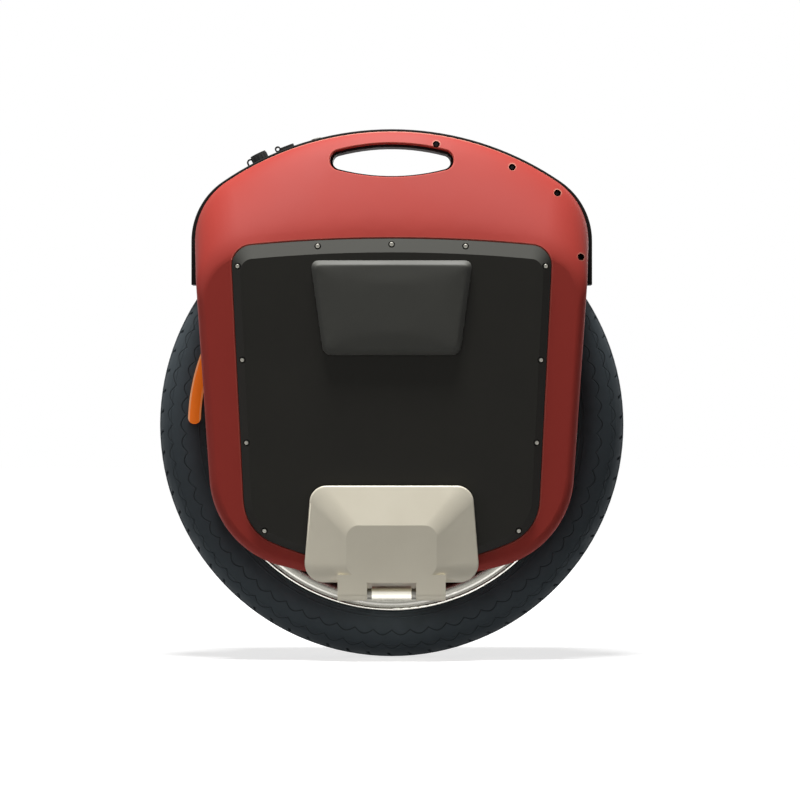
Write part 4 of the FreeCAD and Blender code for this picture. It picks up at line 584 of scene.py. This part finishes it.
def add_screw(mesh, box, outward, head, shank, socket):
    """Adds a screw with a rounded head and a hexagon socket, in the box of a plain one.

    head is the length of the head, shank the radius of the shank, and socket the share of the
    head's radius that the corners of the socket reach.
    """
    low, high = box
    radius = (high.x - low.x) / 2
    reach = radius * socket
    made = bmesh.new()
    bmesh.ops.create_circle(made, cap_ends=True, radius=radius, segments=24)
    top = lifted(made, made.faces[:], (0.0, 0.0, head * HEAD_WALL))
    for inwards, upwards in (HEAD_SHOULDER, HEAD_CROWN):
        bmesh.ops.inset_region(made, faces=top, thickness=radius * inwards, depth=head * upwards)
    flat = radius * (1 - HEAD_SHOULDER[0] - HEAD_CROWN[0])
    bmesh.ops.inset_region(made, faces=top, thickness=flat - reach)
    for vertex in top[0].verts:
        turn = math.atan2(vertex.co.y, vertex.co.x) % HEXAGON_STEP - HEXAGON_STEP / 2
        side = reach * math.cos(HEXAGON_STEP / 2) / math.cos(turn)
        vertex.co.xy = vertex.co.xy.normalized() * side
    bmesh.ops.inset_region(made, faces=top, thickness=reach * SOCKET_TAPER,
                           depth=-head * SOCKET_DEPTH)
    length = high.y - low.y - head
    bmesh.ops.create_cone(made, cap_ends=True, segments=16, radius1=shank, radius2=shank,
                          depth=length, matrix=Matrix.Translation((0.0, 0.0, -length / 2)))
    tip = low.y if outward < 0 else high.y
    seat = Vector(((low.x + high.x) / 2, tip - outward * head, (low.z + high.z) / 2))
    turn = Vector((0.0, 0.0, 1.0)).rotation_difference(Vector((0.0, outward, 0.0)))
    bmesh.ops.transform(made, matrix=Matrix.Translation(seat) @ turn.to_matrix().to_4x4(),
                        verts=made.verts[:])
    data = bpy.data.meshes.new("screw")
    made.to_mesh(data)
    made.free()
    mesh.from_mesh(data)
    bpy.data.meshes.remove(data)


def cover_screws(side):
    """Zinc plated button head screws round a side cover, in place of its plain ones."""
    node = side + "_cover_screws"
    mesh = bmesh.new()
    for box in solids(node):
        add_screw(mesh, box, OUTWARD[side], COVER_SCREW_HEAD, COVER_SCREW_SHANK, COVER_SOCKET)
    piece(side + "_cover_button_screws", mesh, "chassis", node, [node])


def shell_cap_screws():
    """Black socket screws deep in the half shells; those at the front enter from the right."""
    mesh = bmesh.new()
    for box in solids("shell_screws"):
        side = "right" if box[0].x > 0 else "left"
        add_screw(mesh, box, OUTWARD[side], SHELL_SCREW_HEAD, SHELL_SCREW_SHANK, SHELL_SOCKET)
    piece("shell_cap_screws", mesh, "chassis", "shell_screws", ["shell_screws"])


def leg_pad(side):
    """Foam pad with a chamfered border, crowned by cloth pressure behind its skin."""
    node = side + "_leg_pad"
    low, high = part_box(node)
    outward = OUTWARD[side]
    back, front = (high.y, low.y) if outward < 0 else (low.y, high.y)
    mesh = bmesh.new()
    corners = [mesh.verts.new((x, back, z)) for x, z in (
        (-PAD_BOTTOM_WIDTH / 2, low.z), (PAD_BOTTOM_WIDTH / 2, low.z),
        (PAD_TOP_WIDTH / 2, high.z), (-PAD_TOP_WIDTH / 2, high.z))]
    mesh.faces.new(corners)
    bmesh.ops.bevel(mesh, geom=corners, offset=PAD_CORNER, segments=8, profile=0.5,
                    affect="VERTICES", material=-1)
    wall = abs(front - back) - PAD_CHAMFER
    top = lifted(mesh, mesh.faces[:], (0.0, outward * wall, 0.0))
    bmesh.ops.inset_region(mesh, faces=top, thickness=PAD_CHAMFER, depth=PAD_CHAMFER)
    made = piece(side + "_foam_pad", mesh, "chassis", node, [node], crease=180.0)
    remesh = made.modifiers.new("even_mesh", "REMESH")
    remesh.mode = "VOXEL"
    remesh.voxel_size = PAD_VOXEL
    remesh.use_smooth_shade = True
    settle(made)
    swell(made, front)
    crown = made.modifiers.new("smooth_skin", "SUBSURF")
    crown.levels = crown.render_levels = 1


def settle(made):
    """Applies the modifiers of a piece to its mesh."""
    held = made.data
    drawn = made.evaluated_get(bpy.context.evaluated_depsgraph_get())
    made.data = bpy.data.meshes.new_from_object(drawn)
    made.data.name = made.name
    made.modifiers.clear()
    bpy.data.meshes.remove(held)


def swell(made, front):
    """Lets cloth pressure crown the front of a pad, and caps how far any point moves."""
    start = [vertex.co.copy() for vertex in made.data.vertices]
    held = [vertex.index for vertex in made.data.vertices
            if abs(vertex.co.y - front) > PAD_VOXEL / 4]
    glue = made.vertex_groups.new(name="glue")
    glue.add(held, 1.0, "REPLACE")
    cloth = made.modifiers.new("foam_pressure", "CLOTH")
    cloth.settings.use_pressure = True
    cloth.settings.uniform_pressure_force = PAD_PRESSURE
    cloth.settings.vertex_group_mass = glue.name
    cloth.settings.effector_weights.gravity = 0.0
    cloth.settings.tension_stiffness = PAD_TENSION
    cloth.settings.bending_stiffness = PAD_BENDING
    scene = bpy.context.scene
    for number in range(1, PAD_FRAMES + 1):
        scene.frame_set(number)
    settle(made)
    scene.frame_set(1)
    made.vertex_groups.clear()
    for vertex, old in zip(made.data.vertices, start):
        moved = vertex.co - old
        if moved.length > PAD_SWELL:
            vertex.co = old + moved.normalized() * PAD_SWELL


def lamp_board(end):
    """Small board with three rows of three domed emitters on the floor of a lamp tray."""
    tray = end + "_housing"
    low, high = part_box(tray)
    outward = 1.0 if low.x > 0 else -1.0
    floor = low.x if outward > 0 else high.x
    middle = (low + high) / 2
    mesh = bmesh.new()
    place = Matrix.Translation((floor + outward * LAMP_BOARD_FLOOR, middle.y, middle.z))
    size = Matrix.Diagonal((LAMP_BOARD_THICKNESS, LAMP_BOARD_SIZE, LAMP_BOARD_SIZE, 1.0))
    bmesh.ops.create_cube(mesh, size=1.0, matrix=place @ size)
    bmesh.ops.bevel(mesh, geom=mesh.edges[:], offset=LAMP_BOARD_EDGE, segments=2, profile=0.5,
                    affect="EDGES", material=-1)
    face = floor + outward * (LAMP_BOARD_FLOOR + LAMP_BOARD_THICKNESS / 2)
    dome = Matrix.Diagonal((EMITTER_RISE, 1.0, 1.0, 1.0))
    for row in (-1, 0, 1):
        for column in (-1, 0, 1):
            spot = (face, middle.y + column * EMITTER_PITCH, middle.z + row * EMITTER_PITCH)
            bmesh.ops.create_uvsphere(mesh, u_segments=16, v_segments=10, radius=EMITTER_RADIUS,
                                      matrix=Matrix.Translation(spot) @ dome)
    piece(end + "_emitters", mesh, "chassis", tray)


for side in SIDES:
    leg_pad(side)
    cover_screws(side)
shell_cap_screws()
lamp_board("head_light")
lamp_board("tail_light")


def seen_rays(tree):
    """One for rays of the camera, gloss and glass, which see the white background."""
    ray = add(tree, "ShaderNodeLightPath").outputs
    seen = add(tree, "ShaderNodeMath", {0: ray["Is Camera Ray"], 1: ray["Is Glossy Ray"]},
               operation="MAXIMUM")
    seen = add(tree, "ShaderNodeMath", {0: seen.outputs["Value"], 1: ray["Is Transmission Ray"]},
               operation="MAXIMUM")
    return seen.outputs["Value"]


def white_world():
    """World that looks white and adds only a little light of its own."""
    world = bpy.data.worlds.new("studio_world")
    bpy.context.scene.world = world
    world.use_nodes = True
    tree = world.node_tree
    tree.nodes.clear()
    level = add(tree, "ShaderNodeMapRange",
                {"Value": seen_rays(tree), "To Min": WORLD_FILL, "To Max": 1.0})
    sky = add(tree, "ShaderNodeBackground",
              {"Color": linear("#FFFFFF"), "Strength": level.outputs["Result"]})
    add(tree, "ShaderNodeOutputWorld", {"Surface": sky.outputs["Background"]})


def pale_floor():
    """Floor that looks white and keeps the shadow, and throws back only a little light."""
    mesh = bmesh.new()
    bmesh.ops.create_grid(mesh, x_segments=1, y_segments=1, size=FLOOR_SIZE)
    data = bpy.data.meshes.new("floor")
    mesh.to_mesh(data)
    mesh.free()
    floor = bpy.data.objects.new("floor", data)
    bpy.context.scene.collection.objects.link(floor)
    paint = bpy.data.materials.new("pale_floor")
    paint.use_nodes = True
    tree = paint.node_tree
    tree.nodes.clear()
    place = add(tree, "ShaderNodeTexCoord").outputs["Object"]
    away = add(tree, "ShaderNodeVectorMath", {0: place}, operation="LENGTH")
    level = add(tree, "ShaderNodeMapRange",
                {"Value": away.outputs["Value"], "From Min": FLOOR_NEAR, "From Max": FLOOR_FAR,
                 "To Min": FLOOR_GLOW_NEAR, "To Max": FLOOR_GLOW_FAR},
                interpolation_type="SMOOTHSTEP")
    pale = add(tree, "ShaderNodeBsdfDiffuse", {"Color": linear("#B4B4B4")})
    matt = add(tree, "ShaderNodeBsdfDiffuse", {"Color": linear("#646464")})
    glow = add(tree, "ShaderNodeEmission",
               {"Color": linear("#FFFFFF"), "Strength": level.outputs["Result"]})
    lit = add(tree, "ShaderNodeAddShader", {0: pale.outputs["BSDF"], 1: glow.outputs["Emission"]})
    either = add(tree, "ShaderNodeMixShader",
                 {"Fac": seen_rays(tree), 1: matt.outputs["BSDF"], 2: lit.outputs["Shader"]})
    add(tree, "ShaderNodeOutputMaterial", {"Surface": either.outputs["Shader"]})
    data.materials.append(paint)


def studio_lamps():
    """Soft box overhead, weak fills, and a low card that lights the bottom of the tyre."""
    for name, place, aim, width, depth, power in LAMPS:
        lamp = bpy.data.lights.new(name, "AREA")
        lamp.shape = "RECTANGLE"
        lamp.size = width
        lamp.size_y = depth
        lamp.energy = power
        holder = bpy.data.objects.new(name, lamp)
        holder.visible_camera = False
        holder.location = place
        towards = Vector(aim) - Vector(place)
        holder.rotation_euler = towards.to_track_quat("-Z", "Y").to_euler()
        bpy.context.scene.collection.objects.link(holder)


def camera():
    """Level camera, square on to the right side, with the photograph's frame."""
    lens = bpy.data.cameras.new("side_view")
    lens.sensor_fit = "HORIZONTAL"
    lens.sensor_width = SENSOR_MM
    lens.lens = SENSOR_MM * CAMERA_DISTANCE / (IMAGE_WIDTH / PIXELS_PER_MM * MM)
    holder = bpy.data.objects.new("side_view", lens)
    holder.location = (CAMERA_X, -CAMERA_DISTANCE, CAMERA_HEIGHT)
    holder.rotation_euler = (math.radians(90), 0.0, 0.0)
    bpy.context.scene.collection.objects.link(holder)
    bpy.context.scene.camera = holder


white_world()
pale_floor()
studio_lamps()
camera()
bpy.context.scene.view_settings.view_transform = "Standard"
